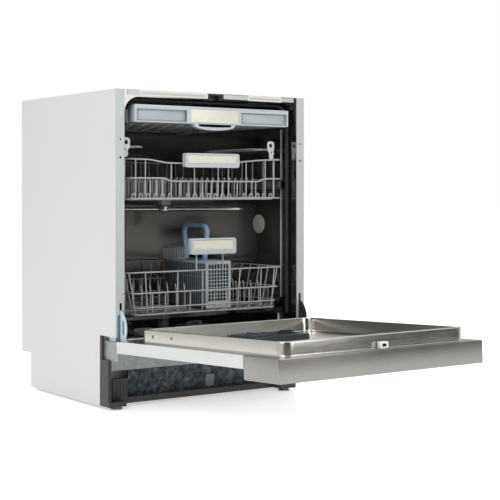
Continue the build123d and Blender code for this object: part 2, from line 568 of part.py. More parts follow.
def grille(corner, across, up, columns, rails, radius=WIRE):
    """Flat welded grille: rails across, and uprights welded against their inner side.

    corner, across and up are (x, depth, z). Columns are stations across. Each rail is a height
    up the panel with the amount it grows beyond the first and last column.
    """
    c, a, u = Vector(corner), Vector(across), Vector(up)
    inward = Vector(-corner[0], 0, 0) if abs(a.Y) > 0.5 else Vector(0, rack_middle - corner[1], 0)
    if abs(u.Z) < 0.5:
        inward = Vector(0, 0, 1)
    lift = inward.normalized() * (1.7 * radius)

    def place(s, t, shift=Vector(0, 0, 0)):
        point = c + a * s + u * t + shift
        return (point.X, point.Y, point.Z)

    top = max(t for t, _ in rails)
    low = min(t for t, _ in rails)
    parts = [rod(place(columns[0] - grow, t), place(columns[-1] + grow, t), radius)
             for t, grow in rails]
    parts += [rod(place(s, low - 1, lift), place(s, top + 1, lift), radius) for s in columns]
    return fuse(parts)


def spread(length, target):
    """Evenly spaced stations from 0 to length, about target apart."""
    count = max(2, round(length / target))
    return [length * index / count for index in range(count + 1)]


# Lower rack: narrow at the foot for the wheels and wider at the rail.
LOW_Z, MID_Z, RAIL_Z = LEDGE_Z + 18.5, level(296), level(350)
FOOT_HALF = RACK_X - 21.0
lean = (RACK_X - FOOT_HALF) / (RAIL_Z - LOW_Z)
rack_length = RACK_BACK - RACK_FRONT
rack_middle = (RACK_FRONT + RACK_BACK) / 2


def rack_floor(half, z, pitch_x, pitch_d):
    """Long wires along the depth, welded on top of the cross wires."""
    stations = spread(2 * half, pitch_x)
    cross = [(s, stations[1]) for s in spread(rack_length, pitch_d)]
    return grille((-half, RACK_FRONT, z), (1, 0, 0), (0, 1, 0), stations[1:-1], cross)


save("lower_rack_floor", rack_floor(FOOT_HALF, LOW_Z - 1.7 * WIRE, 38, 60))

rails = [(0.0, 0.0), (MID_Z - LOW_Z, (MID_Z - LOW_Z) * lean), (RAIL_Z - LOW_Z,
                                                            RACK_X - FOOT_HALF)]
ends = [grille((-FOOT_HALF, d, LOW_Z), (1, 0, 0), (0, 0, 1), spread(2 * FOOT_HALF, 42), rails)
        for d in (RACK_FRONT, RACK_BACK)]
WHEEL_Z = LEDGE_Z + 0.5 + WHEEL_R
WHEEL_X0 = TUB_X - 33.0
WHEEL_D = {"front": 90.0, "rear": RACK_BACK - 85.0}
sides = []
for side in MIRROR:
    up = (side * lean, 0, 1)
    wires = [grille((side * FOOT_HALF, RACK_FRONT, LOW_Z), (0, 1, 0), up,
                    spread(rack_length, 43), [(t, 0) for t, _ in rails])]
    for d in WHEEL_D.values():
        wires.append(side_box(side, WHEEL_X0 - 5, WHEEL_X0 - 2, d - 9, d + 9, LOW_Z - 3,
                              MID_Z + 3))
        wires.append(side_box(side, FOOT_HALF - 1, WHEEL_X0 - 4, d - 9, d + 9, LOW_Z - 3,
                              LOW_Z + 3))
        wires.append(rod((side * (WHEEL_X0 - 4), d, WHEEL_Z),
                         (side * (WHEEL_X0 + WHEEL_W + 1), d, WHEEL_Z), 3))
    sides.append(fuse(wires))
save("lower_rack_walls", *ends, *sides)

for side, tag in ((-1, "left"), (1, "right")):
    for place_name, d in WHEEL_D.items():
        a, b = side * WHEEL_X0, side * (WHEEL_X0 + WHEEL_W)
        wheel = rod((a, d, WHEEL_Z), (b, d, WHEEL_Z), WHEEL_R)
        wheel -= rod((side * (WHEEL_X0 + WHEEL_W - 2.5), d, WHEEL_Z), (b, d, WHEEL_Z), 15)
        wheel += rod((a, d, WHEEL_Z), (b, d, WHEEL_Z), 6)
        wheel -= rod((a - side, d, WHEEL_Z), (b + side, d, WHEEL_Z), 3.05)
        save(f"wheel_{place_name}_{tag}", wheel)


def comb(start, count, step, height, radius=WIRE):
    """A row of tines on a base wire: start is (x, depth, z), step runs along X or the depth."""
    x, d, z = start
    dx, dd = step
    past_x, past_d = (1.6 * radius, 0) if dx else (0, 1.6 * radius)
    stop = (x + dx * (count - 1) + past_x, d + dd * (count - 1) + past_d, z)
    tines = [upright(x + dx * i, d + dd * i, z, z + height, 0.9 * radius)
             for i in range(count)]
    return fuse([rod((x - past_x, d - past_d, z), stop, radius)] + tines)


TINE_Z = LOW_Z + 2 * WIRE
TINE_H = level(296) - TINE_Z + 14
low_x = FOOT_HALF - 10
rows = []
for d in (100.0, 190.0):
    rows.append(comb((-low_x, d, TINE_Z), int((low_x - 12) // 27) + 1, (27.0, 0), TINE_H))
    rows.append(comb((116, d, TINE_Z), int((low_x - 116) // 25) + 1, (25.0, 0), TINE_H))
for d in (RACK_BACK - 195, RACK_BACK - 105):
    count = int(2 * low_x // 27)
    rows.append(comb((-13.5 * (count - 1), d, TINE_Z), count, (27.0, 0), TINE_H))
save("lower_rack_tines", *rows)


def handle(half, d0, z0, z1, posts, foot):
    """A hollow grip: a shell open underneath, on posts of wire down to the rail."""
    grip = box(-half, half, d0, d0 + 18, z0, z1) - box(-half + 3, half - 3, d0 + 3, d0 + 19,
                                                        z0 - 1, z1 - 6)
    grip -= box(-half + 8, half - 8, d0 - 1, d0 + 0.8, z0 + 11, z1 - 5)
    legs = [upright(x, RACK_FRONT - 6, foot, z1 - 4, WIRE) for x in posts]
    feet_ = [rod((x, RACK_FRONT - 6, foot), (x, RACK_FRONT, foot), WIRE) for x in posts]
    links = [box(x - 4, x + 4, d0 + 17, RACK_FRONT - 5, z1 - 12, z1 - 3) for x in posts]
    return fuse([grip] + legs + feet_ + links)


save("lower_rack_handle", handle(72, 0, level(393), level(436), (-42, 42), RAIL_Z))

# Cutlery basket: a grid-walled box with four cells and a raised rear comb, and its loop.
BASKET_X0, BASKET_X1, BASKET_D0, BASKET_D1 = 11.0, 92.0, 56.0, 278.0
BASKET_Z0 = LOW_Z + WIRE + 0.5
BASKET_Z1 = BASKET_Z0 + 128.0 * (TUB_Z - LEDGE_Z) / (802.0 - LEDGE_Z)
bx0, bx1, bd0, bd1 = BASKET_X0, BASKET_X1, BASKET_D0, BASKET_D1
basket = box(bx0, bx1, bd0, bd1, BASKET_Z0, BASKET_Z1)
for index in range(4):
    cell = (bd1 - bd0 - 2.5) / 4
    basket -= box(bx0 + 2.5, bx1 - 2.5, bd0 + 2.5 + index * cell, bd0 + (index + 1) * cell,
                  BASKET_Z0 + 3, BASKET_Z1 + 1)
window = (BASKET_Z1 - BASKET_Z0 - 44) / 4
for index in range(4):
    z = BASKET_Z0 + 24 + index * (window + 1.5)
    for x in spread(bx1 - bx0 - 28, 13)[:-1]:
        basket -= box(bx0 + 14 + x, bx0 + 23 + x, bd0 - 1, bd1 + 1, z, z + window - 3)
comb_top = [box(bx0, bx0 + 2.5, bd1 - 120 + 9 * i, bd1 - 117 + 9 * i, BASKET_Z1, BASKET_Z1 + 34)
            for i in range(14)]
comb_top.append(box(bx0, bx0 + 2.5, bd1 - 120, bd1, BASKET_Z1 + 30, BASKET_Z1 + 36))
save("cutlery_basket", fuse([basket] + comb_top))

LOOP_X, LOOP_D0, LOOP_D1 = 57.0, 118.0, 244.0
LOOP_TOP = BASKET_Z1 + 100.0 * (TUB_Z - LEDGE_Z) / (802.0 - LEDGE_Z)
loop = fuse([box(LOOP_X - 7, LOOP_X + 7, LOOP_D0, LOOP_D0 + 9, BASKET_Z1, LOOP_TOP - 14),
             box(LOOP_X - 7, LOOP_X + 7, LOOP_D1 - 9, LOOP_D1, BASKET_Z1, LOOP_TOP - 14),
             yz_plate([(LOOP_D0, LOOP_TOP - 16), (LOOP_D0 + 22, LOOP_TOP),
                       (LOOP_D1 - 22, LOOP_TOP), (LOOP_D1, LOOP_TOP - 16),
                       (LOOP_D1 - 9, LOOP_TOP - 18), (LOOP_D1 - 25, LOOP_TOP - 9),
                       (LOOP_D0 + 25, LOOP_TOP - 9), (LOOP_D0 + 9, LOOP_TOP - 18)],
                      LOOP_X - 7, LOOP_X + 7),
             box(bx0 + 2.5, bx1 - 2.5, LOOP_D0 + 1, LOOP_D0 + 7, BASKET_Z1 - 6, BASKET_Z1),
             box(bx0 + 2.5, bx1 - 2.5, LOOP_D1 - 7, LOOP_D1 - 1, BASKET_Z1 - 6, BASKET_Z1)])
loop -= box(bx0 + 2, bx1 - 2, bd0 + 2.5 + cell - 2.6, bd0 + 2.5 + cell + 0.1, BASKET_Z1 - 7,
            BASKET_Z1)
save("cutlery_basket_handle", loop)

# Upper rack: upright walls, its slides, tines, grip, two cup shelves and the duct to its arm.
upper_half = RACK_X - 2
save("upper_rack_floor", rack_floor(upper_half, UP_Z0 - 1.7 * WIRE, 45, 68))

SHELF_Z = level(676)
SHELF_X = upper_half - 8
SHELF_D = {-1: (66.0, 250.0), 1: (66.0, 300.0)}
up_rails = [(0.0, 0.0), (UP_Z1 - UP_Z0, 0.0), (UP_Z2 - UP_Z0, 0.0)]
ends = [grille((-upper_half, d, UP_Z0), (1, 0, 0), (0, 0, 1), spread(2 * upper_half, 38),
               up_rails) for d in (RACK_FRONT, RACK_BACK)]
sides = []
for side in MIRROR:
    wires = [grille((side * upper_half, RACK_FRONT, UP_Z0), (0, 1, 0), (0, 0, 1),
                    spread(rack_length, 53), up_rails)]
    for d in SHELF_D[side]:
        wires.append(upright(side * (upper_half - 1.7 * WIRE), d + 12, UP_Z0 - 1, SHELF_Z + 5,
                             WIRE))
        wires.append(side_box(side, SHELF_X + 3, upper_half, d + 9, d + 15, SHELF_Z - 3,
                              SHELF_Z + 3))
        wires.append(rod((side * SHELF_X, d + 9, SHELF_Z), (side * SHELF_X, d + 15, SHELF_Z),
                         4.5))
    wall = fuse(wires)
    for d in SHELF_D[side]:
        wall -= rod((side * SHELF_X, d + 8, SHELF_Z), (side * SHELF_X, d + 16, SHELF_Z),
                    THIN_WIRE + 0.05)
    sides.append(wall)
save("upper_rack_walls", *ends, *sides)

rows = []
for x in (-170.0, -112.0, -54.0, 60.0, 118.0, 176.0):
    x *= upper_half / 247.0
    count = int((rack_length - 90) // 28)
    rows.append(comb((x, RACK_FRONT + 50, UP_Z0 + 2 * WIRE), count, (0, 28.0),
                     UP_Z1 - UP_Z0 + 2))
save("upper_rack_tines", *rows)
save("upper_rack_handle", handle(86, 5, level(623), level(661), (-60, 60), level(630)))

# Moving slides of the upper rack, one bar each side with tabs to the wires.
slides = []
for side in MIRROR:
    slides.append(side_box(side, upper_half + WIRE, TUB_X - 13, RACK_FRONT + 22, RACK_BACK - 6,
                           RACK_RAIL_Z - 8, RACK_RAIL_Z + 8))
save("upper_slides", *slides)

for side, tag in ((-1, "left"), (1, "right")):
    d0, d1 = SHELF_D[side][0], SHELF_D[side][1] + 24
    inner = SHELF_X - 62
    wires = [rod((side * SHELF_X, d0, SHELF_Z), (side * SHELF_X, d1, SHELF_Z), THIN_WIRE),
             rod((side * inner, d0, SHELF_Z), (side * inner, d1, SHELF_Z), THIN_WIRE)]
    ring_d = [SHELF_D[side][0] + 12, SHELF_D[side][1] + 12]
    over = SHELF_Z + 1.7 * THIN_WIRE
    wires += [rod((side * (inner - 1), d, over), (side * (SHELF_X + 1), d, over), THIN_WIRE)
              for d in [d0 + s for s in spread(d1 - d0, 30)]
              if all(abs(d - r) > 6 for r in ring_d)]
    wires.append(side_box(side, inner - 1, inner + 29, d0 - 2, d0 + 2, SHELF_Z - 26,
                          SHELF_Z + 24)
                 - side_box(side, inner + 5, inner + 23, d0 - 3, d0 + 3, SHELF_Z + 3,
                            SHELF_Z + 18))
    save(f"cup_shelf_{tag}", fuse(wires))

# Spray arms: hollow blades with a hub; the upper one hangs from a duct under its rack.
def spray_arm(z, hub_r, bore_r, bore_z0, bore_z1):
    blade = box(-ARM_R + 18, ARM_R - 18, ARM_DEPTH - 18, ARM_DEPTH + 18, z, z + 12)
    tips = [rod((s * (ARM_R - 18), ARM_DEPTH, z), (s * (ARM_R - 18), ARM_DEPTH, z + 12), 18)
            for s in MIRROR]
    arm = fuse([blade, *tips, upright(0, ARM_DEPTH, z - 1, z + 16, hub_r)])
    for s in MIRROR:
        for reach in (0.35, 0.55, 0.75, 0.92):
            arm -= upright(s * reach * ARM_R, ARM_DEPTH, z + 9, z + 13, 2.5)
    return arm - upright(0, ARM_DEPTH, bore_z0, bore_z1, bore_r)


save("lower_spray_arm", spray_arm(200, 24, 9.05, 190, 209))
ARM_Z = level(504)
upper_arm = spray_arm(ARM_Z, 22, 8.05, ARM_Z + 5, ARM_Z + 20)
turn = Axis((0, FRONT + ARM_DEPTH, 0), (0, 0, 1))
save("upper_spray_arm", upper_arm.rotate(turn, -28))
under = UP_Z0 - 2.7 * WIRE - 1
save("upper_spray_duct", fuse([
    box(-15, 15, ARM_DEPTH - 18, DUCT_D0 - 5, ARM_Z + 17, under),
    upright(0, ARM_DEPTH, ARM_Z + 6, under, 8),
    upright(0, ARM_DEPTH, ARM_Z + 17, under, 20),
    rod((0, DUCT_D0 - 10, SPRAY_Z), (0, RACK_BACK + WIRE - 0.5, SPRAY_Z), SPRAY_R)]))
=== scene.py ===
import json
import math

import bmesh
import bpy
from mathutils import Matrix, Vector


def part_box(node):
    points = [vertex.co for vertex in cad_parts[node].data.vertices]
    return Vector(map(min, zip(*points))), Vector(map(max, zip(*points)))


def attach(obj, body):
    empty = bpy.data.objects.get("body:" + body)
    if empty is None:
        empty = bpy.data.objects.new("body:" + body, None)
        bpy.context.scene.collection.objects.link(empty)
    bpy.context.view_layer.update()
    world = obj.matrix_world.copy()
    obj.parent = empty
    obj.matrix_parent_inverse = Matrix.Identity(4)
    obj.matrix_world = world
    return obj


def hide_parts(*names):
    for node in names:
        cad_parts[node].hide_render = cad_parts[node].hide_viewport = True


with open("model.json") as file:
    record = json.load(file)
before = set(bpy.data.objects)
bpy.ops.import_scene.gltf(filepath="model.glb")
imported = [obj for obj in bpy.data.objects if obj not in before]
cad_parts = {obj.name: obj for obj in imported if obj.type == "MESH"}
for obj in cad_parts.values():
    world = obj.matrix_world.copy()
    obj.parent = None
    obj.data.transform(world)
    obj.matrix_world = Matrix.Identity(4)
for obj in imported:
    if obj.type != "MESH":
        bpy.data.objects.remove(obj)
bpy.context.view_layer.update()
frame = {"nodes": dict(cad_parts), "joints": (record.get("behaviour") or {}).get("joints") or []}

# ---- Side panels, chassis and top bar ---------------------------------------------------------
# The sides are thin steel sheet with a light enamel, pressed with folded edges. The frame behind
# them and the bar across the top are galvanised, screwed together at the corners. Their zinc grey
# is darker than bare zinc: partly its own dull grey, partly painted shade for the open door's
# shadow.


class Reading:
    """A number that comes out of a node. Sums and products of it add their own Math nodes."""

    def __init__(self, board, socket):
        self.board, self.socket = board, socket

    def maths(self, operation, first, second=0.0):
        return self.board.node("ShaderNodeMath", {"operation": operation}, {0: first, 1: second})

    def __add__(self, other):
        return self.maths("ADD", self, other)

    def __sub__(self, other):
        return self.maths("SUBTRACT", self, other)

    def __rsub__(self, other):
        return self.maths("SUBTRACT", other, self)

    def __mul__(self, other):
        return self.maths("MULTIPLY", self, other)

    def __lt__(self, other):
        return self.maths("LESS_THAN", self, other)

    __radd__, __rmul__ = __add__, __mul__


class Board:
    """A node tree built by naming each node, its settings and what feeds its sockets."""

    def __init__(self, tree):
        self.tree = tree

    def node(self, kind, settings=None, values=None, output=0):
        made = self.tree.nodes.new(kind)
        for setting, value in (settings or {}).items():
            if setting == "stops":
                ramp = made.color_ramp.elements
                ramp[0].position, ramp[0].color = value[0]
                ramp[1].position, ramp[1].color = value[-1]
                for position, colour in value[1:-1]:
                    ramp.new(position).color = colour
            else:
                setattr(made, setting, value)
        for socket, value in (values or {}).items():
            self.feed(value, made.inputs[socket])
        return Reading(self, made.outputs[output])

    def feed(self, value, socket):
        if isinstance(value, Reading):
            self.tree.links.new(value.socket, socket)
        else:
            socket.default_value = value


class Finish(Board):
    """One surface finish: a shader whose colour, roughness and relief are worked out by nodes."""

    def __init__(self, name, **constants):
        self.material = bpy.data.materials.new(name)
        self.material.use_nodes = True
        super().__init__(self.material.node_tree)
        self.shader = self.tree.nodes["Principled BSDF"]
        for socket, value in constants.items():
            self.shader.inputs[socket.replace("_", " ")].default_value = value
        self.place = self.node("ShaderNodeTexCoord", output="Object")

    def noise(self, scale, stretch=(1, 1, 1), detail=3.0, roughness=0.55):
        turned = self.node("ShaderNodeMapping", {}, {"Vector": self.place, "Scale": stretch})
        return self.node("ShaderNodeTexNoise", {}, {
            "Vector": turned, "Scale": scale, "Detail": detail, "Roughness": roughness})

    def tint(self, amount, first, second):
        return self.node("ShaderNodeMix", {"data_type": "RGBA"},
                         {0: amount, 6: (*first, 1), 7: (*second, 1)}, output=2)

    def surface(self, colour, roughness, height, depth_mm, strength=1.0):
        relief = self.node("ShaderNodeBump", {}, {
            "Strength": strength, "Distance": depth_mm / 1000, "Height": height})
        self.feed(colour, self.shader.inputs["Base Color"])
        self.feed(roughness, self.shader.inputs["Roughness"])
        self.feed(relief, self.shader.inputs["Normal"])
        return self


def painted(name, colour, shade, roughness=0.35, peel=0.02):
    """Stoved enamel: a fine orange peel, a slow drift of tone and slightly dulled patches."""
    coat = Finish(name, Coat_Weight=0.15, Coat_Roughness=0.3)
    drift = coat.noise(2.2, (1, 1, 0.3), 2.0)
    dull = coat.noise(34.0, detail=4.0)
    return coat.surface(coat.tint(drift, colour, shade), dull * 0.14 + (roughness - 0.07),
                        coat.noise(900.0, detail=1.0), peel)


def rolled(name, colour, shade, roughness, grain, lines=0.010, metallic=1.0):
    """Sheet metal with rolling lines: grain holds the stretch that draws the lines out."""
    sheet = Finish(name, Metallic=metallic)
    fine = sheet.noise(1500.0, grain, 2.0)
    cloud = sheet.noise(9.0, detail=4.0)
    return sheet.surface(sheet.tint(cloud * 0.7 + fine * 0.3, colour, shade),
                         cloud * 0.10 + fine * 0.12 + (roughness - 0.11), fine, lines)


def galvanised(name, colour, shade):
    """Zinc coating with its crystal spangle, dull and a little uneven."""
    zinc = Finish(name, Metallic=0.55)
    crystal = zinc.node("ShaderNodeTexVoronoi", {}, {"Vector": zinc.place, "Scale": 110.0},
                        output="Color")
    grey = zinc.node("ShaderNodeRGBToBW", {}, {"Color": crystal})
    return zinc.surface(zinc.tint(grey, colour, shade), grey * 0.2 + 0.32, zinc.noise(400.0), 0.03)


def dress(finish, *names):
    """Frame nodes whose shape is already right get their finish."""
    for name in names:
        for slot in frame["nodes"][name].material_slots:
            slot.material = finish.material


white_enamel = painted("white_enamel", (0.615, 0.62, 0.62), (0.57, 0.575, 0.575))
# the zinc grey is darkened: partly its own dull grey, partly painted shade for the shadow under
# the open door
zinc_painted_shade = galvanised("galvanised_sheet", (0.24, 0.26, 0.26), (0.36, 0.38, 0.38))
dress(white_enamel, "side_panel_left", "side_panel_right")
dress(zinc_painted_shade, "chassis_frame", "hinge_brackets")

# ---- Tub --------------------------------------------------------------------------------------
# The tub is a bright stainless pressing: sides and roof in one bend, a back sheet and a floor
# pan with a ledge each side. A bitumen blanket is stuck over it against the noise.
bright_steel = rolled("bright_steel", (0.24, 0.235, 0.225), (0.36, 0.355, 0.34), 0.12,
                      (0.6, 0.6, 0.02), 0.006)
blanket = Finish("bitumen_blanket", Specular_IOR_Level=0.35)
crumb = blanket.noise(160.0, detail=6.0)
blanket.surface(blanket.tint(crumb, (0.022, 0.022, 0.023), (0.065, 0.065, 0.064)),
                crumb * 0.2 + 0.6, crumb + blanket.noise(12.0) * 3.0, 0.8)
dress(bright_steel, "tub_shell", "tub_back", "tub_floor")
dress(blanket, "insulation_mat")

# ---- Mounting strips, worktop plates and their screws -----------------------------------------
# Two coated uprights stand in front of the flange, screwed to the cabinet. Short plates over the
# mouth take the worktop. Cross-recessed screws hold them, all of one size.
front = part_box("tub_shell")[0].y


def at(x, depth, z):
    """A place in millimetres: across, behind the front flange, and up from the floor."""
    return Vector((x / 1000, front + depth / 1000, z / 1000))


def room(name):
    """The room that a frame node fills, in mm: its x, depth and z, each from low to high."""
    low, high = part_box(name)
    return ((low.x * 1000, high.x * 1000),
            ((low.y - front) * 1000, (high.y - front) * 1000), (low.z * 1000, high.z * 1000))


def node_middle(name):
    """The middle of a frame node's room, as (x, depth, z) in mm."""
    return [sum(ends) / 2 for ends in room(name)]


def turned(stock, profile, centre, axis, sides=32):
    """Add a lathe-turned part: (radius, along) pairs in mm, from its first pole to its last."""
    along = Vector(axis).normalized()
    across = along.orthogonal().normalized()
    other = along.cross(across)
    rings = []
    for radius, reach in profile:
        middle = centre + along * (reach / 1000)
        steps = sides if radius > 0 else 1
        rings.append([stock.verts.new(middle + (
            across * math.cos(math.tau * i / steps) + other * math.sin(math.tau * i / steps))
            * (radius / 1000)) for i in range(steps)])
    skin = []
    for first, second in zip(rings, rings[1:]):
        for i in range(sides):
            j = (i + 1) % sides
            corners = [first[i % len(first)], first[j % len(first)],
                       second[j % len(second)], second[i % len(second)]]
            corners = list(dict.fromkeys(corners))
            if len(corners) > 2:
                skin.append(stock.faces.new(corners))
    bmesh.ops.recalc_face_normals(stock, faces=skin)


def block(stock, low, high, rounding=0.8, segments=2):
    """Add a moulded block between two corners given as (x, depth, z), its edges rounded."""
    low, high = at(*map(min, low, high)), at(*map(max, low, high))
    size = high - low
    place = Matrix.Translation((low + high) / 2) @ Matrix.Diagonal((*size, 1))
    made = bmesh.ops.create_cube(stock, size=1.0, matrix=place)
    edges = list({edge for corner in made["verts"] for edge in corner.link_edges})
    bmesh.ops.bevel(stock, geom=edges, segments=segments, profile=0.5, affect="EDGES",
                    offset=min(rounding / 1000, 0.45 * min(size)), clamp_overlap=True)


def made_mesh(name, stock, smooth_below=40.0):
    """Close a stock into a mesh, shaded smooth where its faces meet at a small angle."""
    mesh = bpy.data.meshes.new(name)
    bmesh.ops.remove_doubles(stock, verts=stock.verts, dist=1e-6)
    stock.to_mesh(mesh)
    stock.free()
    mesh.shade_smooth()
    mesh.set_sharp_from_angle(angle=math.radians(smooth_below))
    return mesh


def piece(name, mesh, finish, body, slot, *replaced):
    """Hang a finished mesh on its body, in place of the frame nodes that it stands for."""
    thing = bpy.data.objects.new(name, mesh)
    bpy.context.scene.collection.objects.link(thing)
    mesh.materials.clear()
    mesh.materials.append(finish.material)
    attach(thing, body)
    if replaced:
        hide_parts(*replaced)
    return thing


def build(name, stock, smooth_below, finish, body, slot, *replaced):
    """Close a stock and hang it on its body."""
    return piece(name, made_mesh(name, stock, smooth_below), finish, body, slot, *replaced)


def studs(stock, centre, axis, count, reach, size):
    """Small bars round an axis, each a reach from the centre, as vectors in millimetres."""
    for turn in range(count):
        bmesh.ops.create_cube(stock, size=1.0, matrix=(
            Matrix.Translation(centre) @ Matrix.Rotation(math.tau * turn / count, 4, axis)
            @ Matrix.Translation(Vector(reach) / 1000)
            @ Matrix.Diagonal((*(edge / 1000 for edge in size), 1))))


def cap_ends(stock, corners):
    """Close a lofted skin at its first and last rings."""
    rims = list(stock.verts)
    stock.faces.new(rims[:corners])
    stock.faces.new(rims[-corners:])
    bmesh.ops.recalc_face_normals(stock, faces=stock.faces)


class Pattern(Board):
    """A Geometry Nodes tree with named inputs, grown over a mesh into a plain mesh."""

    def __init__(self, name, **inputs):
        super().__init__(bpy.data.node_groups.new(name, "GeometryNodeTree"))
        face = self.tree.interface
        face.new_socket("Geometry", in_out="INPUT", socket_type="NodeSocketGeometry")
        face.new_socket("Geometry", in_out="OUTPUT", socket_type="NodeSocketGeometry")
        for label, kind in inputs.items():
            face.new_socket(label, in_out="INPUT", socket_type="NodeSocket" + kind)
        self.given = self.tree.nodes.new("NodeGroupInput")

    def input(self, label):
        return Reading(self, self.given.outputs[label])

    def close(self, geometry):
        """End the tree: instances made real, then the finish set."""
        real = self.node("GeometryNodeRealizeInstances", {}, {"Geometry": geometry})
        dressed = self.node("GeometryNodeSetMaterial", {}, {
            "Geometry": real, "Material": self.input("Finish")})
        self.tree.links.new(dressed.socket, self.tree.nodes.new("NodeGroupOutput").inputs[0])

    def grow(self, mesh, **values):
        thing = bpy.data.objects.new("growing", mesh)
        bpy.context.scene.collection.objects.link(thing)
        growth = thing.modifiers.new("growth", "NODES")
        growth.node_group = self.tree
        for entry in self.tree.interface.items_tree:
            if entry.in_out == "INPUT" and entry.name in values:
                growth[entry.identifier] = values[entry.name]
        graph = bpy.context.evaluated_depsgraph_get()
        grown = bpy.data.meshes.new_from_object(thing.evaluated_get(graph), depsgraph=graph)
        thing.modifiers.remove(growth)
        bpy.data.objects.remove(thing)
        return grown


# A part is stamped at each point of a mesh, turned the same way each time.
stamp = Pattern("stamped_parts", Part="Object", Turn="Rotation", Finish="Material")
stamped = stamp.node("GeometryNodeInstanceOnPoints", {}, {
    "Points": stamp.input("Geometry"), "Rotation": stamp.input("Turn"),
    "Instance": stamp.node("GeometryNodeObjectInfo", {}, {"Object": stamp.input("Part")},
                           output="Geometry")})
stamp.close(stamped)


def stamp_parts(part, places, turn, finish):
    """Copies of a small part, drawn about its own origin, at each (x, depth, z) place."""
    points = bpy.data.meshes.new("places")
    points.from_pydata([at(*place) for place in places], [], [])
    pattern = bpy.data.objects.new("part_to_stamp", part)
    grown = stamp.grow(points, Part=pattern, Turn=[math.radians(a) for a in turn],
                       Finish=finish.material)
    bpy.data.objects.remove(pattern)
    return grown


def screw_head(radius=3.6):
    """A pan head with a cross recess, its axis along Z and its seat at the origin."""
    stock = bmesh.new()
    rise = radius * 0.55
    turned(stock, [(0, -0.6), (radius, -0.6), (radius, 0.2 * rise), (radius * 0.86, 0.7 * rise),
                   (radius * 0.5, rise), (0, rise)], Vector(), (0, 0, 1), 20)
    arm, slit = radius * 0.5 / 1000, radius * 0.12 / 1000
    for face in [f for f in stock.faces if f.calc_center_median().z > 0.9 * rise / 1000]:
        stock.faces.remove(face)
    floor_z = 0.35 * rise / 1000
    cross = [(arm, slit), (slit, slit), (slit, arm), (-slit, arm), (-slit, slit), (-arm, slit),
             (-arm, -slit), (-slit, -slit), (-slit, -arm), (slit, -arm), (slit, -slit),
             (arm, -slit)]
    cross = [(x * 0.8, y * 0.8) for x, y in cross]
    upper = [stock.verts.new((x, y, rise / 1000)) for x, y in cross]
    lower = [stock.verts.new((x, y, floor_z)) for x, y in cross]
    edges = []
    for i in range(12):
        j = (i + 1) % 12
        stock.faces.new([upper[i], upper[j], lower[j], lower[i]])
        edges.append(stock.edges.get([upper[i], upper[j]]))
    stock.faces.new(lower)
    loose = [v for v in stock.verts if not v.link_faces]
    bmesh.ops.delete(stock, geom=loose, context="VERTS")
    rim_edges = [e for e in stock.edges if len(e.link_faces) == 1 and e not in edges]
    bmesh.ops.triangle_fill(stock, use_beauty=True, edges=edges + rim_edges)
    bmesh.ops.recalc_face_normals(stock, faces=stock.faces)
    return made_mesh("screw_head", stock, 30.0)


strip_coat = painted("strip_coat", (0.50, 0.535, 0.515), (0.46, 0.49, 0.475), 0.4)
plate_coat = painted("plate_coat", (0.72, 0.71, 0.65), (0.64, 0.63, 0.58), 0.45)
screw_steel = rolled("screw_steel", (0.42, 0.42, 0.41), (0.62, 0.61, 0.59), 0.30, (1, 1, 1))
dress(strip_coat, "mounting_strips")
dress(plate_coat, "worktop_brackets")

strip_mid = room("mounting_strips")[0][1] - 17.0
strip_screws = [(side * strip_mid, 0.0, z) for side in (-1, 1) for z in (745, 589, 422, 300)]
piece("strip_screws", stamp_parts(screw_head(3.2), [(x, -1.0, z) for x, _, z in strip_screws],
                                  (90, 0, 0), screw_steel),
      screw_steel, "cabinet", "chassis_steel")

# ---- Top strip and wall highlight strip -------------------------------------------------------
# A pale coated strip closes the front above the mouth, in two lengths either side of the lock.
# A narrow cream strip up the right wall of the tub is a painted highlight, standing in for a
# bright vertical reflection on the stainless wall.
stock = bmesh.new()
for x0, x1 in ((-264, -20), (30, 264)):
    block(stock, (x0, -1.3, 806.5), (x1, -0.2, 818), 0.4)
build("top_strip", stock, 40, strip_coat, "cabinet", "strip_paint")
# a pale strip painted on as the bright vertical highlight down the right wall of the tub
trim_cream = painted("trim_cream", (0.62, 0.60, 0.54), (0.70, 0.68, 0.62), 0.35)
stock = bmesh.new()
block(stock, (270.6, 66, 262), (272.8, 71, 735), 0.8)
build("wall_trim", stock, 40, trim_cream, "cabinet", "light_plastic")

# ---- Door seal and lock -----------------------------------------------------------------------
# One soft black rubber extrusion is pushed into a channel round the sides and roof of the mouth,
# with a hollow lip that the shut door presses. The lock sits over it in a black housing.


def lofted(stock, rings, closed=False):
    """Skin a run of rings, each a list of points; closed joins the last ring to the first."""
    rows = [[stock.verts.new(point) for point in ring] for ring in rings]
    pairs = list(zip(rows, rows[1:])) + ([(rows[-1], rows[0])] if closed else [])
    return [stock.faces.new([first[i], first[i + 1 - len(first)], second[i + 1 - len(first)],
                             second[i]]) for first, second in pairs for i in range(len(first))]


def arch_line(half, foot, top, radius, steps=8):
    """Points (x, z) up the left side, round the roof and down the right side."""
    line = [(-half, foot + (top - radius - foot) * i / 6) for i in range(7)]
    for turn in range(1, steps + 1):
        a = math.radians(90 * turn / steps)
        line.append((-half + radius - radius * math.cos(a), top - radius + radius * math.sin(a)))
    return line + [(-x, z) for x, z in reversed(line)]


(_, seal_half), (seal_d0, _), (seal_foot, seal_top) = room("door_gasket")
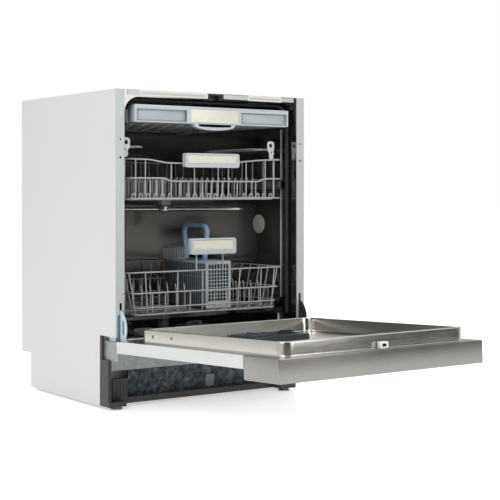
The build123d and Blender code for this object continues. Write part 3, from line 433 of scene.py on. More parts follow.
# the section, as (inset from the tub wall, depth): a foot, a waist and a round lip in front
section = [(0, 15), (0, 7), (1.2, 5.2), (0.6, 3.4), (2.0, 1.0), (4.6, 0.0), (7.6, 0.6),
           (10.0, 2.6), (11.0, 5.6), (10.2, 8.6), (8.0, 10.2), (6.0, 10.8), (6.4, 13.6),
           (4.0, 15)]
rubber = Finish("seal_rubber", Specular_IOR_Level=0.4)
bloom = rubber.noise(40.0, detail=5.0)
rubber.surface(rubber.tint(bloom, (0.010, 0.010, 0.011), (0.030, 0.030, 0.031)),
               bloom * 0.25 + 0.42, rubber.noise(500.0), 0.03)
stock = bmesh.new()
seal_path = [arch_line(seal_half - inset, seal_foot, seal_top - inset, 42 - inset)
             for inset, _ in section]
lofted(stock, [[at(seal_path[k][i][0], seal_d0 + section[k][1], seal_path[k][i][1])
                for k in range(len(section))] for i in range(len(seal_path[0]))])
cap_ends(stock, len(section))
build("door_seal", stock, 50, rubber, "cabinet", "seal_rubber", "door_gasket")


def moulded(name, colour, shade, roughness=0.45, grain=0.03, **constants):
    """Injection-moulded plastic: a fine spark-eroded grain, faint flow clouds and scuffs."""
    plastic = Finish(name, Specular_IOR_Level=0.45, **constants)
    flow = plastic.noise(7.0, (1, 1, 2.4), 2.0)
    scuff = plastic.noise(75.0, (1, 3, 1), 6.0, 0.7)
    return plastic.surface(plastic.tint(flow * 0.6 + scuff * 0.4, colour, shade),
                           scuff * 0.22 + (roughness - 0.11), plastic.noise(1100.0, detail=1.0),
                           grain)


black_moulding = moulded("black_moulding", (0.018, 0.018, 0.020), (0.036, 0.037, 0.039), 0.5)
dress(black_moulding, "door_lock", "control_module")

# ---- Runners, feed duct and the vent cap in the tub -------------------------------------------
# Rolled stainless channels on both walls carry the tray and the upper rack. A grey duct feeds the
# upper sprayers. The round cap on the right wall covers the steam vent.
rail_steel = rolled("rail_steel", (0.36, 0.36, 0.35), (0.50, 0.50, 0.48), 0.28, (0.6, 0.02, 0.6))
grey_moulding = moulded("grey_moulding", (0.15, 0.16, 0.17), (0.20, 0.21, 0.22), 0.42)
pale_moulding = moulded("pale_moulding", (0.56, 0.60, 0.62), (0.63, 0.67, 0.69), 0.38)
dress(rail_steel, "tray_runners", "upper_rails")
dress(grey_moulding, "feed_duct")

wall_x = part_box("tray_runners")[1].x * 1000
stock = bmesh.new()
turned(stock, [(0, -0.5), (27, -0.5), (27, 2), (25.5, 3.4), (21, 3.6), (20, 2.6), (18.6, 2.6),
               (17.6, 3.8), (13, 4.0), (12, 3.0), (10.6, 3.0), (9.6, 4.4), (5, 4.8), (0, 5.0)],
       at(wall_x, 177, 466), (-1, 0, 0), 48)
vent_cream = moulded("vent_cream", (0.66, 0.66, 0.56), (0.74, 0.74, 0.64), 0.38)
build("vent_cap", stock, 35, vent_cream, "cabinet", "light_plastic")


def rounded(u0, u1, v0, v1, radius, steps=6):
    """The outline of a round-cornered rectangle, as (u, v) points."""
    corners = ((u1 - radius, v1 - radius, 0), (u0 + radius, v1 - radius, 90),
               (u0 + radius, v0 + radius, 180), (u1 - radius, v0 + radius, 270))
    return [(u + radius * math.cos(math.radians(start + 90 * i / steps)),
             v + radius * math.sin(math.radians(start + 90 * i / steps)))
            for u, v, start in corners for i in range(steps + 1)]


def circle(u, v, radius, steps=32):
    return [(u + radius * math.cos(math.tau * i / steps),
             v + radius * math.sin(math.tau * i / steps)) for i in range(steps)]


def stamped_plate(stock, outlines, facing, low, high, edge=0.3):
    """Add a plate cut to its first outline, with the others as holes, lying across an axis.

    Facing "x" takes (depth, z) points, "y" takes (x, z) points and "z" takes (x, depth) points.
    """
    curve = bpy.data.curves.new("outline", "CURVE")
    curve.dimensions, curve.fill_mode = "2D", "BOTH"
    for outline in outlines:
        spline = curve.splines.new("POLY")
        spline.points.add(len(outline) - 1)
        for point, (u, v) in zip(spline.points, outline):
            point.co = (u / 1000, v / 1000, 0, 1)
        spline.use_cyclic_u = True
    curve.extrude = (high - low) / 2000 - edge / 1000
    curve.bevel_depth, curve.bevel_resolution, curve.offset = edge / 1000, 1, -edge / 1000
    thing = bpy.data.objects.new("outline", curve)
    bpy.context.scene.collection.objects.link(thing)
    graph = bpy.context.evaluated_depsgraph_get()
    mesh = bpy.data.meshes.new_from_object(thing.evaluated_get(graph), depsgraph=graph)
    middle = (low + high) / 2000
    columns = {"x": ((0, 0, 1, middle), (1, 0, 0, front), (0, 1, 0, 0)),
               "y": ((1, 0, 0, 0), (0, 0, -1, front + middle), (0, 1, 0, 0)),
               "z": ((1, 0, 0, 0), (0, 1, 0, front), (0, 0, 1, middle))}[facing]
    mesh.transform(Matrix((*columns, (0, 0, 0, 1))))
    stock.from_mesh(mesh)
    bpy.data.objects.remove(thing)


# ---- Base, feet and the felt mat --------------------------------------------------------------
# The base is one black moulding with ribbed corner posts. Four screwed steel feet carry it, and a
# thick felt mat hangs in front of the pumps, with a plain paper tag on it.
base_moulding = moulded("base_moulding", (0.028, 0.028, 0.027), (0.055, 0.055, 0.053), 0.5)
dress(base_moulding, "base_tray")

# a shape is repeated along one step, and that row along another
rows_of = Pattern("rows_of_parts", Count="Int", Step="Vector", Rows="Int", Row_Step="Vector",
                  Finish="Material")
line = rows_of.node("GeometryNodeMeshLine", {"mode": "OFFSET"}, {
    "Count": rows_of.input("Count"), "Offset": rows_of.input("Step")})
row = rows_of.node("GeometryNodeInstanceOnPoints", {}, {
    "Points": line, "Instance": rows_of.input("Geometry")})
lines = rows_of.node("GeometryNodeMeshLine", {"mode": "OFFSET"}, {
    "Count": rows_of.input("Rows"), "Offset": rows_of.input("Row_Step")})
rows_of.close(rows_of.node("GeometryNodeInstanceOnPoints", {}, {"Points": lines, "Instance": row}))


def rowed(stock, count, step, finish, rows=1, row_step=(0, 0, 0), smooth_below=40):
    """The stock's shape repeated count times by a step, in rows, all in millimetres."""
    return rows_of.grow(made_mesh("repeated", stock, smooth_below), Count=count, Rows=rows,
                        Step=[s / 1000 for s in step], Row_Step=[s / 1000 for s in row_step],
                        Finish=finish.material)


base_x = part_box("base_tray")[1].x * 1000
ribs = bmesh.new()
for side in (-1, 1):
    stock = bmesh.new()
    block(stock, (side * (base_x - 9.0), 38.6, 30), (side * (base_x - 0.3), 40.6, 33), 0.5)
    ribs.from_mesh(rowed(stock, 8, (0, 0, 12), base_moulding))
    stock = bmesh.new()
    block(stock, (side * (base_x - 70), 64.8, 22), (side * (base_x - 67), 66.6, 73), 0.5)
    ribs.from_mesh(rowed(stock, 6, (side * 8, 0, 0), base_moulding))
build("base_ribs", ribs, 40, base_moulding, "cabinet", "black_plastic")

foot_steel = rolled("foot_steel", (0.30, 0.30, 0.29), (0.46, 0.46, 0.44), 0.35, (1, 1, 0.1))
pad_radius = 16
(_, foot_x), (foot_d0, foot_d1), _ = room("levelling_feet")
foot_x, foot_d0, foot_d1 = foot_x - pad_radius, foot_d0 + pad_radius, foot_d1 - pad_radius
foot = bmesh.new()
thread = [(r, 10.4 + 0.7 * i) for i, r in enumerate([5.0, 4.3] * 6)]
turned(foot, [(0, 0), (14.6, 0), (16, 1.2), (16, 3.2), (14.8, 4.4), (11, 5.0), (9, 5.4),
              (9, 8.6), (8.2, 9.4), (5, 9.6), *thread, (4.4, 19.6), (0, 19.8)],
       Vector(), (0, 0, 1), 36)
studs(foot, Vector(), "Z", 6, (12.5, 0, 5.2), (5, 2.2, 1.6))
piece("screw_feet", stamp_parts(made_mesh("screw_foot", foot, 35), [
    (side * foot_x, depth, 0) for side in (-1, 1) for depth in (foot_d0, foot_d1)],
    (0, 0, 0), foot_steel), foot_steel, "cabinet", "hinge_steel", "levelling_feet")

mat_low, mat_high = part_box("sound_mat")
felt = Finish("grey_blue_felt", Specular_IOR_Level=0.15, Sheen_Weight=0.25)
fibre = felt.noise(420.0, (1, 1, 2.0), 8.0, 0.75)
tuft = felt.noise(70.0, detail=5.0)
felt.surface(felt.node("ShaderNodeValToRGB", {"stops": [
    (0.34, (0.012, 0.016, 0.022, 1)), (0.47, (0.040, 0.052, 0.064, 1)),
    (0.56, (0.13, 0.155, 0.175, 1)), (0.66, (0.36, 0.39, 0.41, 1))]},
    {0: fibre * 0.6 + tuft * 0.4}), fibre * 0.2 + 0.75, fibre + tuft * 2.0, 1.4)
stock = bmesh.new()
depths = [(mat_low.y - front) * 1000, (mat_high.y - front) * 1000]
grid = bmesh.ops.create_grid(stock, x_segments=150, y_segments=28, size=0.5)
x_mid, z_mid = (mat_low.x + mat_high.x) / 2, (mat_low.z + mat_high.z) / 2
wide, tall = mat_high.x - mat_low.x, mat_high.z - mat_low.z
for vert in grid["verts"]:
    u, v = vert.co.x, vert.co.y
    edge = 0.5 - max(abs(u), abs(v))
    wave = (math.sin(u * 61 + math.sin(v * 23) * 1.7) * math.sin(v * 17 + u * 37)
            + 0.6 * math.sin(u * 151 + v * 29) * math.sin(v * 41))
    sag = 0.0014 * wave * min(1.0, edge * 12)
    vert.co = (x_mid + u * wide, front + (depths[0] + 2.4) / 1000 + sag
               + 0.002 * max(0.0, 1 - edge * 30), z_mid + v * tall)
sheet = bmesh.ops.extrude_face_region(stock, geom=stock.faces[:])
for vert in (g for g in sheet["geom"] if isinstance(g, bmesh.types.BMVert)):
    vert.co.y = front + depths[1] / 1000
bmesh.ops.recalc_face_normals(stock, faces=stock.faces)
build("felt_mat", stock, 60, felt, "cabinet", "felt", "sound_mat")

paper = moulded("paper_tag", (0.16, 0.19, 0.19), (0.25, 0.28, 0.28), 0.7)
stock = bmesh.new()
stamped_plate(stock, [rounded(36, 63, 26, 59, 2)], "y", depths[0] + 0.2, depths[0] + 0.8, 0.1)
build("plain_tag", stock, 40, paper, "cabinet", "white_plastic")

# ---- Sump, pumps, softener and inlet valve ----------------------------------------------------
# Under the tub, grey mouldings hold the water: a sump, a ring-wound wash pump in a turned can, a
# drain pump with its spigot, the softener tank and the inlet valve with its threaded nose.
tank_moulding = moulded("tank_moulding", (0.60, 0.61, 0.60), (0.68, 0.69, 0.68), 0.4,
                        Subsurface_Weight=0.05)
dress(grey_moulding, "sump")
dress(tank_moulding, "softener_tank")
dress(black_moulding, "drain_pump")

pump_d = node_middle("wash_pump")[1]
pump_x0, pump_z = room("wash_pump")[0][0], room("wash_pump")[2][0] + 43
cuff_rise, outlet_rise = 150 - pump_z, 116 - pump_z
stock = bmesh.new()
fins = [(r, 40 + 3.4 * i) for i, r in enumerate([36, 36, 33.6, 33.6] * 5)]
turned(stock, [(0, 0), (38, 0), (43, 3), (43, 26), (40, 30), (34, 31), (34, 39), *fins,
               (36, 109), (35, 114), (28, 117.4), (12, 118), (0, 118)],
       at(pump_x0, pump_d, pump_z), (1, 0, 0), 48)
turned(stock, [(0, 30), (17, 30), (17, 40), (15, 41), (15, cuff_rise),
               (16.4, cuff_rise + 1), (16.4, outlet_rise), (0, outlet_rise)],
       at(pump_x0 + 15, pump_d, pump_z), (0, 0, 1), 32)
build("wash_pump_can", stock, 30, grey_moulding, "cabinet", "grey_plastic", "wash_pump")

valve_x, valve_d = node_middle("water_inlet_valve")[0], room("water_inlet_valve")[1][1]
stock = bmesh.new()
block(stock, (valve_x - 22, valve_d - 64, 40), (valve_x + 22, valve_d - 18, 92), 2.5, 3)
for z in (50, 66, 82):
    block(stock, (valve_x - 21, valve_d - 63, z - 1.2), (valve_x + 21, valve_d - 62.6, z + 1.2))
screw = [(r, -13.2 + 0.9 * i) for i, r in enumerate([13.2, 12.2] * 7)]
turned(stock, [(9, -16), (13.0, -18), (13.0, -14), *screw, (12.4, -0.4), (10.5, 0), (9, 0),
               (9, -16)], at(valve_x, valve_d, 62), (0, 1, 0), 40)
build("inlet_valve", stock, 30, tank_moulding, "cabinet", "white_plastic", "water_inlet_valve")

# ---- Upper rack -------------------------------------------------------------------------------
# Bent wire, welded where it crosses and dipped in a grey nylon coat: loops round the basket, long
# wires bent up at both ends, and rows of tines. It runs on bars with rollers at their ends.
bent_wire = Pattern("bent_wire", Radius="Float", Bend="Float", Count="Int", Step="Vector",
                    Finish="Material")
path = bent_wire.node("GeometryNodeMeshToCurve", {}, {0: bent_wire.input("Geometry")})
eased = bent_wire.node("GeometryNodeFilletCurve", {"mode": "POLY"}, {
    "Curve": path, "Radius": bent_wire.input("Bend"), "Count": 4, "Limit Radius": True})
round_section = bent_wire.node("GeometryNodeCurvePrimitiveCircle", {}, {
    "Resolution": 10, "Radius": bent_wire.input("Radius")})
drawn = bent_wire.node("GeometryNodeCurveToMesh", {}, {
    "Curve": eased, "Profile Curve": round_section, "Fill Caps": True})
steps = bent_wire.node("GeometryNodeMeshLine", {"mode": "OFFSET"}, {
    "Count": bent_wire.input("Count"), "Offset": bent_wire.input("Step")})
bent_wire.close(bent_wire.node("GeometryNodeInstanceOnPoints", {}, {
    "Points": steps, "Instance": drawn}))


def wires(stock, rows, radius, finish, bend=9.0):
    """Add rows of bent wire. Each is (points, count, step), with True after it for a loop."""
    for points, count, step, *looped in rows:
        ends = [(i, i + 1) for i in range(len(points) - 1)]
        if looped:
            ends.append((len(points) - 1, 0))
        line = bpy.data.meshes.new("wire_line")
        line.from_pydata([at(*point) for point in points], ends, [])
        stock.from_mesh(bent_wire.grow(line, Radius=radius / 1000, Bend=bend / 1000,
                                       Count=count, Step=[s / 1000 for s in step],
                                       Finish=finish.material))


coated_wire = moulded("coated_wire", (0.36, 0.37, 0.37), (0.50, 0.51, 0.51), 0.30, 0.02,
                      Coat_Weight=0.35, Coat_Roughness=0.15)
wire_r = 2.0
half = room("upper_rack_floor")[0][1] - 3.7
_, (rack_d0, rack_d1), (floor_z, _) = room("upper_rack_walls")
rack_d0, rack_d1 = rack_d0 + wire_r, rack_d1 - wire_r
floor_z, top_z = floor_z + 3, 646.0
front_in, back_in = rack_d0 + 2 * wire_r, rack_d1 - 2 * wire_r
upper_loops = [
    ([(-half, rack_d0, 644), (-185, rack_d0, 643), (-128, rack_d0, 635), (-78, rack_d0, 634),
      (78, rack_d0, 634), (108, rack_d0, 640), (160, rack_d0, 645), (225, rack_d0, 648),
      (half, rack_d0, 648), (half, rack_d1, top_z), (-half, rack_d1, top_z)], 1, (0, 0, 0), True),
    ([(-half, rack_d0, 595), (-140, rack_d0, 595), (-118, rack_d0, 587), (163, rack_d0, 587),
      (188, rack_d0, 595), (half, rack_d0, 595), (half, rack_d1, 590), (-half, rack_d1, 590)],
     1, (0, 0, 0), True),
    ([(-half, rack_d0, floor_z), (half, rack_d0, floor_z), (half, rack_d1, floor_z),
      (-half, rack_d1, floor_z)], 1, (0, 0, 0), True)]
long_wires = [([(x, front_in, tip), (x, front_in, floor_z), (x, back_in, floor_z),
                (x, back_in, top_z)], 1, (0, 0, 0))
              for x, tip in ((-222, 643), (-193, 643), (-178, 595), (-160, 595), (-142, 595),
                             (-114, 634), (-88, 587), (-61, 587), (-42, 634), (-16, 587),
                             (12, 587), (34, 634), (47, 587), (67, 634), (96, 587), (126, 642),
                             (158, 587), (190, 645), (218, 647))]
cross_wires = [([(-half + 2 * wire_r, rack_d0 + 30, 644), (-half + 2 * wire_r, rack_d0 + 30,
                 floor_z - 3.4), (half - 2 * wire_r, rack_d0 + 30, floor_z - 3.4),
                 (half - 2 * wire_r, rack_d0 + 30, 644)], 9, (0, 52, 0))]
tine_rows = []
for x in (-170.0, -112.0, -54.0, 60.0, 118.0, 176.0):
    tine_rows += [([(x, rack_d0 + 46, floor_z + 5), (x, rack_d1 - 56, floor_z + 5)], 1, (0, 0, 0)),
                  ([(x, rack_d0 + 50, floor_z + 4), (x, rack_d0 + 50, floor_z + 40),
                    (x + 5, rack_d0 + 50, floor_z + 56)], 13, (0, 28, 0))]
stock = bmesh.new()
wires(stock, upper_loops, wire_r, coated_wire, 14)
wires(stock, long_wires + cross_wires, 1.7, coated_wire, 11)
wires(stock, tine_rows, 1.8, coated_wire, 8)
# small loops in front, where the long wires are turned back under the floor
wires(stock, [([(x, rack_d0 - 1.2, floor_z + 2), (x, rack_d0 - 1.2, floor_z + 12),
                (x + 9, rack_d0 - 1.2, floor_z + 12), (x + 9, rack_d0 - 1.2, floor_z + 2)],
               count, (22, 0, 0)) for x, count in ((-236, 6), (-70, 7), (112, 5))],
      1.5, coated_wire, 4)
build("upper_rack_wire", stock, 50, coated_wire, "upper_rack",
      "rack_wire", "upper_rack_floor", "upper_rack_walls", "upper_rack_tines")
dress(rail_steel, "upper_slides")
dress(grey_moulding, "upper_spray_duct")

(_, slide_x), slide_ends, _ = room("upper_slides")
stock = bmesh.new()
for side in (-1, 1):
    for depth in (slide_ends[0] + 9, slide_ends[1] - 9):
        turned(stock, [(0, 0), (6.5, 0), (7.5, 0.8), (7.5, 3.2), (6.5, 4), (3, 4.2), (3, 5),
                       (0, 5)], at(side * (slide_x - 5.2), depth, node_middle("upper_slides")[2]),
               (side, 0, 0), 28)
build("slide_rollers", stock, 35, pale_moulding, "upper_rack", "light_plastic")

# ---- Rack grips -------------------------------------------------------------------------------
# Each grip is a hollow moulding in pale grey, clipped on bent legs of wire, with a cream panel let
# into its face. Fingers go in under it from below.
grip_frame = moulded("grip_frame", (0.46, 0.51, 0.53), (0.52, 0.57, 0.59), 0.32)
cream_panel = moulded("cream_panel", (0.69, 0.67, 0.58), (0.74, 0.72, 0.63), 0.28,
                      Coat_Weight=0.3, Coat_Roughness=0.2)


def grip(name, node, body, foot_z, legs):
    """The frame, wires and cream panel of a grip, in the room that its frame node fills."""
    (_, half), (d0, _), (_, z1) = room(node)
    z0 = z1 - (38 if body == "upper_rack" else 43)
    stock = bmesh.new()
    stamped_plate(stock, [rounded(-half, half, z0, z1, 7), rounded(
        -half + 7, half - 7, z0 + 11, z1 - 5, 4)], "y", d0, d0 + 4.5, 1.3)
    stamped_plate(stock, [rounded(-half + 1.5, half - 1.5, z0 + 2, z1 - 1, 6)], "y",
                  d0 + 3.2, d0 + 5.0, 0.5)
    block(stock, (-half + 1, d0 + 2.2, z1 - 6), (half - 1, d0 + 18, z1 - 0.1), 2.4, 3)
    for side in (-1, 1):
        block(stock, (side * (half - 0.3), d0 + 2.2, z0 + 1),
              (side * (half - 4), d0 + 18, z1 - 1), 1.6, 3)
    for x in legs:
        block(stock, (x - 5, d0 + 15, z1 - 14), (x + 5, d0 + 23.4, z1 - 2), 1.5, 2)
        block(stock, (x - 3.5, d0 + 3, z0 + 8), (x + 3.5, d0 + 7, z1 - 4), 1.0, 2)
    build(name + "_frame", stock, 35, grip_frame, body, "light_plastic", node)
    stock = bmesh.new()
    wires(stock, [([(x, 28, foot_z), (x, 22, foot_z), (x, 22, z1 - 6)], 1, (0, 0, 0))
                  for x in legs], wire_r, coated_wire, 4)
    build(name + "_legs", stock, 50, coated_wire, body, "rack_wire")
    stock = bmesh.new()
    panel = bmesh.ops.create_grid(stock, x_segments=24, y_segments=8, size=0.5)
    for vert in panel["verts"]:
        u, v = vert.co.x * 2, vert.co.y * 2
        crown = 1.6 * (1 - u ** 8) * (1 - v ** 4)
        vert.co = at(u * (half - 7.4), d0 + 2.6 - crown, (z0 + z1 + 6) / 2
                     + v * ((z1 - z0 - 16) / 2 - 0.4))
    skirt = bmesh.ops.extrude_edge_only(stock, edges=[e for e in stock.edges if e.is_boundary])
    for vert in (g for g in skirt["geom"] if isinstance(g, bmesh.types.BMVert)):
        vert.co.y = front + (d0 + 3.6) / 1000
    bmesh.ops.contextual_create(stock, geom=[e for e in stock.edges if e.is_boundary])
    bmesh.ops.recalc_face_normals(stock, faces=stock.faces)
    build(name + "_panel", stock, 40, cream_panel, body, "cream_plastic")


grip("upper_grip", "upper_rack_handle", "upper_rack", 633, (-60, 60))

# ---- Cup shelves ------------------------------------------------------------------------------
# Two narrow wire shelves hinge on the rack's sides, held up by scalloped white clips.
clip_white = moulded("clip_white", (0.74, 0.75, 0.75), (0.80, 0.81, 0.81), 0.35)
for side, tag in ((-1, "left"), (1, "right")):
    sides, (d0, d1), (z, _) = room("cup_shelf_" + tag)
    outer, inner = max(abs(x) for x in sides) - 1.5, 178.0
    d0, z = d0 + 4, z + 26
    count = int((d1 - d0 - 8) / 26)
    stock = bmesh.new()
    wires(stock, [([(side * inner, d0, z), (side * outer, d0, z), (side * outer, d1 - 2, z),
                    (side * inner, d1 - 2, z)], 1, (0, 0, 0), True),
                  ([(side * inner, d0 + 13, z + 2.6), (side * outer, d0 + 13, z + 2.6)], count,
                   (0, 26, 0)),
                  ([(side * (inner + 20), d0, z + 2.6), (side * (inner + 20), d1 - 2, z + 2.6)],
                   2, (side * 20, 0, 0))], 1.5, coated_wire, 8)
    build("cup_shelf_wire_" + tag, stock, 50, coated_wire,
          "cup_shelf_" + tag, "rack_wire", "cup_shelf_" + tag)
    # the clip: an eye over the wire, and a leg waved along its inner edge
    leg = [(-12, 18), (-12, 4), (-9, -4), (-12, -10), (-8, -17), (-10, -24), (-6, -26), (2, -26),
           (6, -18), (4, -10), (10, -2), (11, 8), (12, 14), (10, 21), (4, 24.5), (-6, 24),
           (-11, 21)]
    centre = side * 232.0
    clip = bmesh.new()
    stamped_plate(clip, [[(centre - side * u, z + v) for u, v in leg],
                         circle(centre, z + 12, 5.5), circle(centre + side * 3, z - 7, 2.6)],
                  "y", d0 - 5.5, d0 - 2, 0.8)
    bmesh.ops.recalc_face_normals(clip, faces=clip.faces)
    build("shelf_clip_" + tag, clip, 35, clip_white, "cup_shelf_" + tag, "white_plastic")

# ---- Lower rack -------------------------------------------------------------------------------
# The same coated wire, wider at the rail than at the foot, with four rows of tines for plates.
foot_half = room("lower_rack_floor")[0][1] - 3.7
rail_half = room("lower_rack_walls")[0][1] - wire_r
low_z, hem_z, mid_z, rail_z = room("lower_rack_walls")[2][0] + 3, 258.0, 296.0, 350.0
mid_half, hem_half = (foot_half + (rail_half - foot_half) * (z - low_z) / (rail_z - low_z)
                      for z in (mid_z, hem_z))
lower_loops = [([(-w, rack_d0, z), (w, rack_d0, z), (w, rack_d1, z), (-w, rack_d1, z)], 1,
                (0, 0, 0), True)
               for w, z in ((rail_half, rail_z), (mid_half, mid_z), (foot_half, low_z),
                            (hem_half, hem_z))]
long_wires = [([(x * spread_top, front_in, tip), (x, front_in, low_z),
                (x, back_in, low_z), (x * spread_top, back_in, tip)], 1, (0, 0, 0))
              for x, tip, spread_top in (
                  (-222, 350, 1.09), (-186, 350, 1.04), (-171, 296, 1.0), (-132, 296, 1.0),
                  (-94, 350, 1.0), (-55, 296, 1.0), (-16, 350, 1.0), (22, 296, 1.0),
                  (62, 296, 1.0), (98, 350, 1.08), (136, 296, 1.0), (172, 350, 1.03),
                  (211, 350, 1.05))]
slope = 2 * wire_r
cross_wires = [([(-rail_half + slope, rack_d0 + 22, rail_z), (-foot_half + slope, rack_d0 + 22,
                 low_z - 3.4), (foot_half - slope, rack_d0 + 22, low_z - 3.4),
                 (rail_half - slope, rack_d0 + 22, rail_z)], 11, (0, 43, 0))]
stock = bmesh.new()
wires(stock, lower_loops, wire_r, coated_wire, 18)
wires(stock, long_wires + cross_wires, 1.8, coated_wire, 12)
tine_z, tine_top = low_z + 4, mid_z + 14
tines = []
for depth, x, count, step in ((100, -218, 8, 27), (190, -218, 8, 27), (100, 116, 5, 25),
                              (190, 116, 5, 25), (rack_d1 - 195, -202.5, 16, 27),
                              (rack_d1 - 105, -202.5, 16, 27)):
    tines += [([(x - 3, depth, tine_z + 1), (x + step * (count - 1) + 3, depth, tine_z + 1)], 1,
               (0, 0, 0)),
              ([(x, depth, tine_z), (x, depth, tine_top - 18), (x, depth + 6, tine_top)], count,
               (step, 0, 0))]
wires(stock, tines, 1.8, coated_wire, 10)
build("lower_rack_wire", stock, 50, coated_wire, "lower_rack",
      "rack_wire", "lower_rack_floor", "lower_rack_walls", "lower_rack_tines")
grip("lower_grip", "lower_rack_handle", "lower_rack", 349, (-42, 42))

# ---- Wheels -----------------------------------------------------------------------------------
# Dark moulded wheels turn on stub axles, in forked carriers snapped onto the foot of the rack.
wheel_moulding = moulded("wheel_moulding", (0.12, 0.135, 0.15), (0.19, 0.21, 0.23), 0.35)
for tag in ("left", "right"):
    side = -1 if tag == "left" else 1
    for end in ("front", "rear"):
        wheel = f"{end}_{tag}"
        near = room("wheel_" + wheel)[0][0 if side > 0 else 1]
        _, depth, z = node_middle("wheel_" + wheel)
        stock = bmesh.new()
        turned(stock, [(3.2, 0), (7.5, 0), (8, 1), (8, 3), (14, 3.4), (15.5, 1), (18.6, 0.4),
                       (20, 1.8), (20, 8.2), (18.6, 9.6), (15.5, 9), (14, 7.2), (8, 7.4),
                       (8, 9.6), (7.4, 10), (3.2, 10), (3.2, 0)], at(near, depth, z),
               (side, 0, 0), 40)
        studs(stock, at(near + side * 5.2, depth, z), "X", 6, (0, 11.2, 0), (6, 7.6, 1.6))
        build("roller_" + wheel, stock, 35, wheel_moulding, "wheel_" + wheel, "wheel_plastic",
              "wheel_" + wheel)
        carrier = bmesh.new()
        mid = near - side * 3.4
        outline = [(depth + u, z + v) for u, v in (
            (-10, 46), (-10, 2), (-8, -5), (-4, -8.5), (0, -9.5), (4, -8.5), (8, -5), (10, 2),
            (10, 46), (6, 50), (-6, 50))]
        stamped_plate(carrier, [outline, rounded(depth - 4, depth + 4, z + 14, z + 38, 3)],
                      "x", mid - 1.6, mid + 1.6, 0.5)
        turned(carrier, [(0, 0), (6, 0), (6, 3), (2.9, 3.2), (2.9, 12.6), (4.2, 13), (4.2, 14),
                         (3, 14.6), (0, 14.6)], at(near - side * 3.6, depth, z), (side, 0, 0), 24)
        block(carrier, (side * (foot_half - 2), depth - 10, low_z - 3),
              (mid, depth + 10, low_z + 5), 1.5)
        build("wheel_carrier_" + wheel, carrier, 35, grey_moulding, "lower_rack", "grey_plastic")

# ---- Top tray ---------------------------------------------------------------------------------
# A slatted grey moulding for cutlery under the roof. Its front bar is pale, with two sunk fields
# and a cream panel, and a smile-shaped grip hangs under it.
tray_moulding = moulded("tray_moulding", (0.25, 0.27, 0.28), (0.31, 0.33, 0.34), 0.4)
sunk_field = moulded("sunk_field", (0.40, 0.44, 0.47), (0.46, 0.50, 0.53), 0.35)
(_, runner_x), (tray_d0, tray_d1), (tray_z0, tray_z1) = room("tray_frame")
(_, tray_half), (bar_d, _), (_, bar_z1) = room("tray_front")
runner_z = 750.0
stock = bmesh.new()
slat = bmesh.new()
pitch = (2 * tray_half - 3) / 13
first = -tray_half + 1.5 + pitch
block(slat, (first - 5, tray_d0, tray_z0), (first + 5, tray_d1, tray_z0 + 3), 1.2)
stock.from_mesh(rowed(slat, 12, (pitch, 0, 0), tray_moulding))
tie = bmesh.new()
block(tie, (-tray_half + 1, 116, tray_z0 + 0.4), (tray_half - 1, 120, tray_z0 + 5.6), 1.2)
stock.from_mesh(rowed(tie, 5, (0, 82, 0), tray_moulding))
holder = bmesh.new()
block(holder, (first + pitch - 1.2, 130, tray_z0 + 2), (first + pitch + 1.2, 190, tray_z0 + 13),
      0.9)
stock.from_mesh(rowed(holder, 11, (pitch, 0, 0), tray_moulding, 3, (0, 110, 0)))
for depth in (tray_d0, tray_d1 - 3):
    block(stock, (-tray_half, depth, tray_z0), (tray_half, depth + 3, tray_z1), 1.0)
for side in (-1, 1):
    block(stock, (side * tray_half, tray_d0, tray_z0),
          (side * (tray_half - 3), tray_d1, tray_z1), 1.0)
    block(stock, (side * (tray_half - 1), 52, runner_z - 4.5),
          (side * runner_x, tray_d1, runner_z + 4.5), 1.5)
build("tray_slats", stock, 40, tray_moulding, "top_tray", "grey_plastic", "tray_frame")

stock = bmesh.new()
field_x = 162.5
field = [rounded(side * field_x - 76, side * field_x + 76, tray_z0 + 3, bar_z1 - 11, 2)
         for side in (-1, 1)]
stamped_plate(stock, [rounded(-tray_half, tray_half, tray_z0, bar_z1, 2.5), *field], "y",
              bar_d, bar_d + 4.0, 0.8)
block(stock, (-tray_half, bar_d + 1, bar_z1 - 4), (tray_half, bar_d + 26, bar_z1), 1.6, 3)
for side in (-1, 1):
    block(stock, (side * tray_half, bar_d + 1, tray_z0),
          (side * (tray_half - 3), bar_d + 26, bar_z1 - 1), 1.2)
build("tray_bar", stock, 35, grip_frame, "top_tray", "light_plastic", "tray_front")
stock = bmesh.new()
for side in (-1, 1):
    x = side * field_x
    block(stock, (x - 79, bar_d + 9, tray_z0 + 1), (x + 79, bar_d + 11, bar_z1 - 5), 0.5)
    block(stock, (x - 68, bar_d + 7.4, tray_z0 + 6), (x + 68, bar_d + 9.4, bar_z1 - 13), 0.9)
build("tray_fields", stock, 40, sunk_field, "top_tray", "light_plastic")


def smile(half_wide, top, drop, steps=24):
    """A flat top edge over a long shallow curve, as (x, z)."""
    return [(half_wide, top), (-half_wide, top)] + [
        (half_wide * math.cos(math.radians(180 + 180 * i / steps)) * 0.995,
         top - 2 - drop * math.sin(math.radians(180 * i / steps)) ** 0.8)
        for i in range(1, steps)]


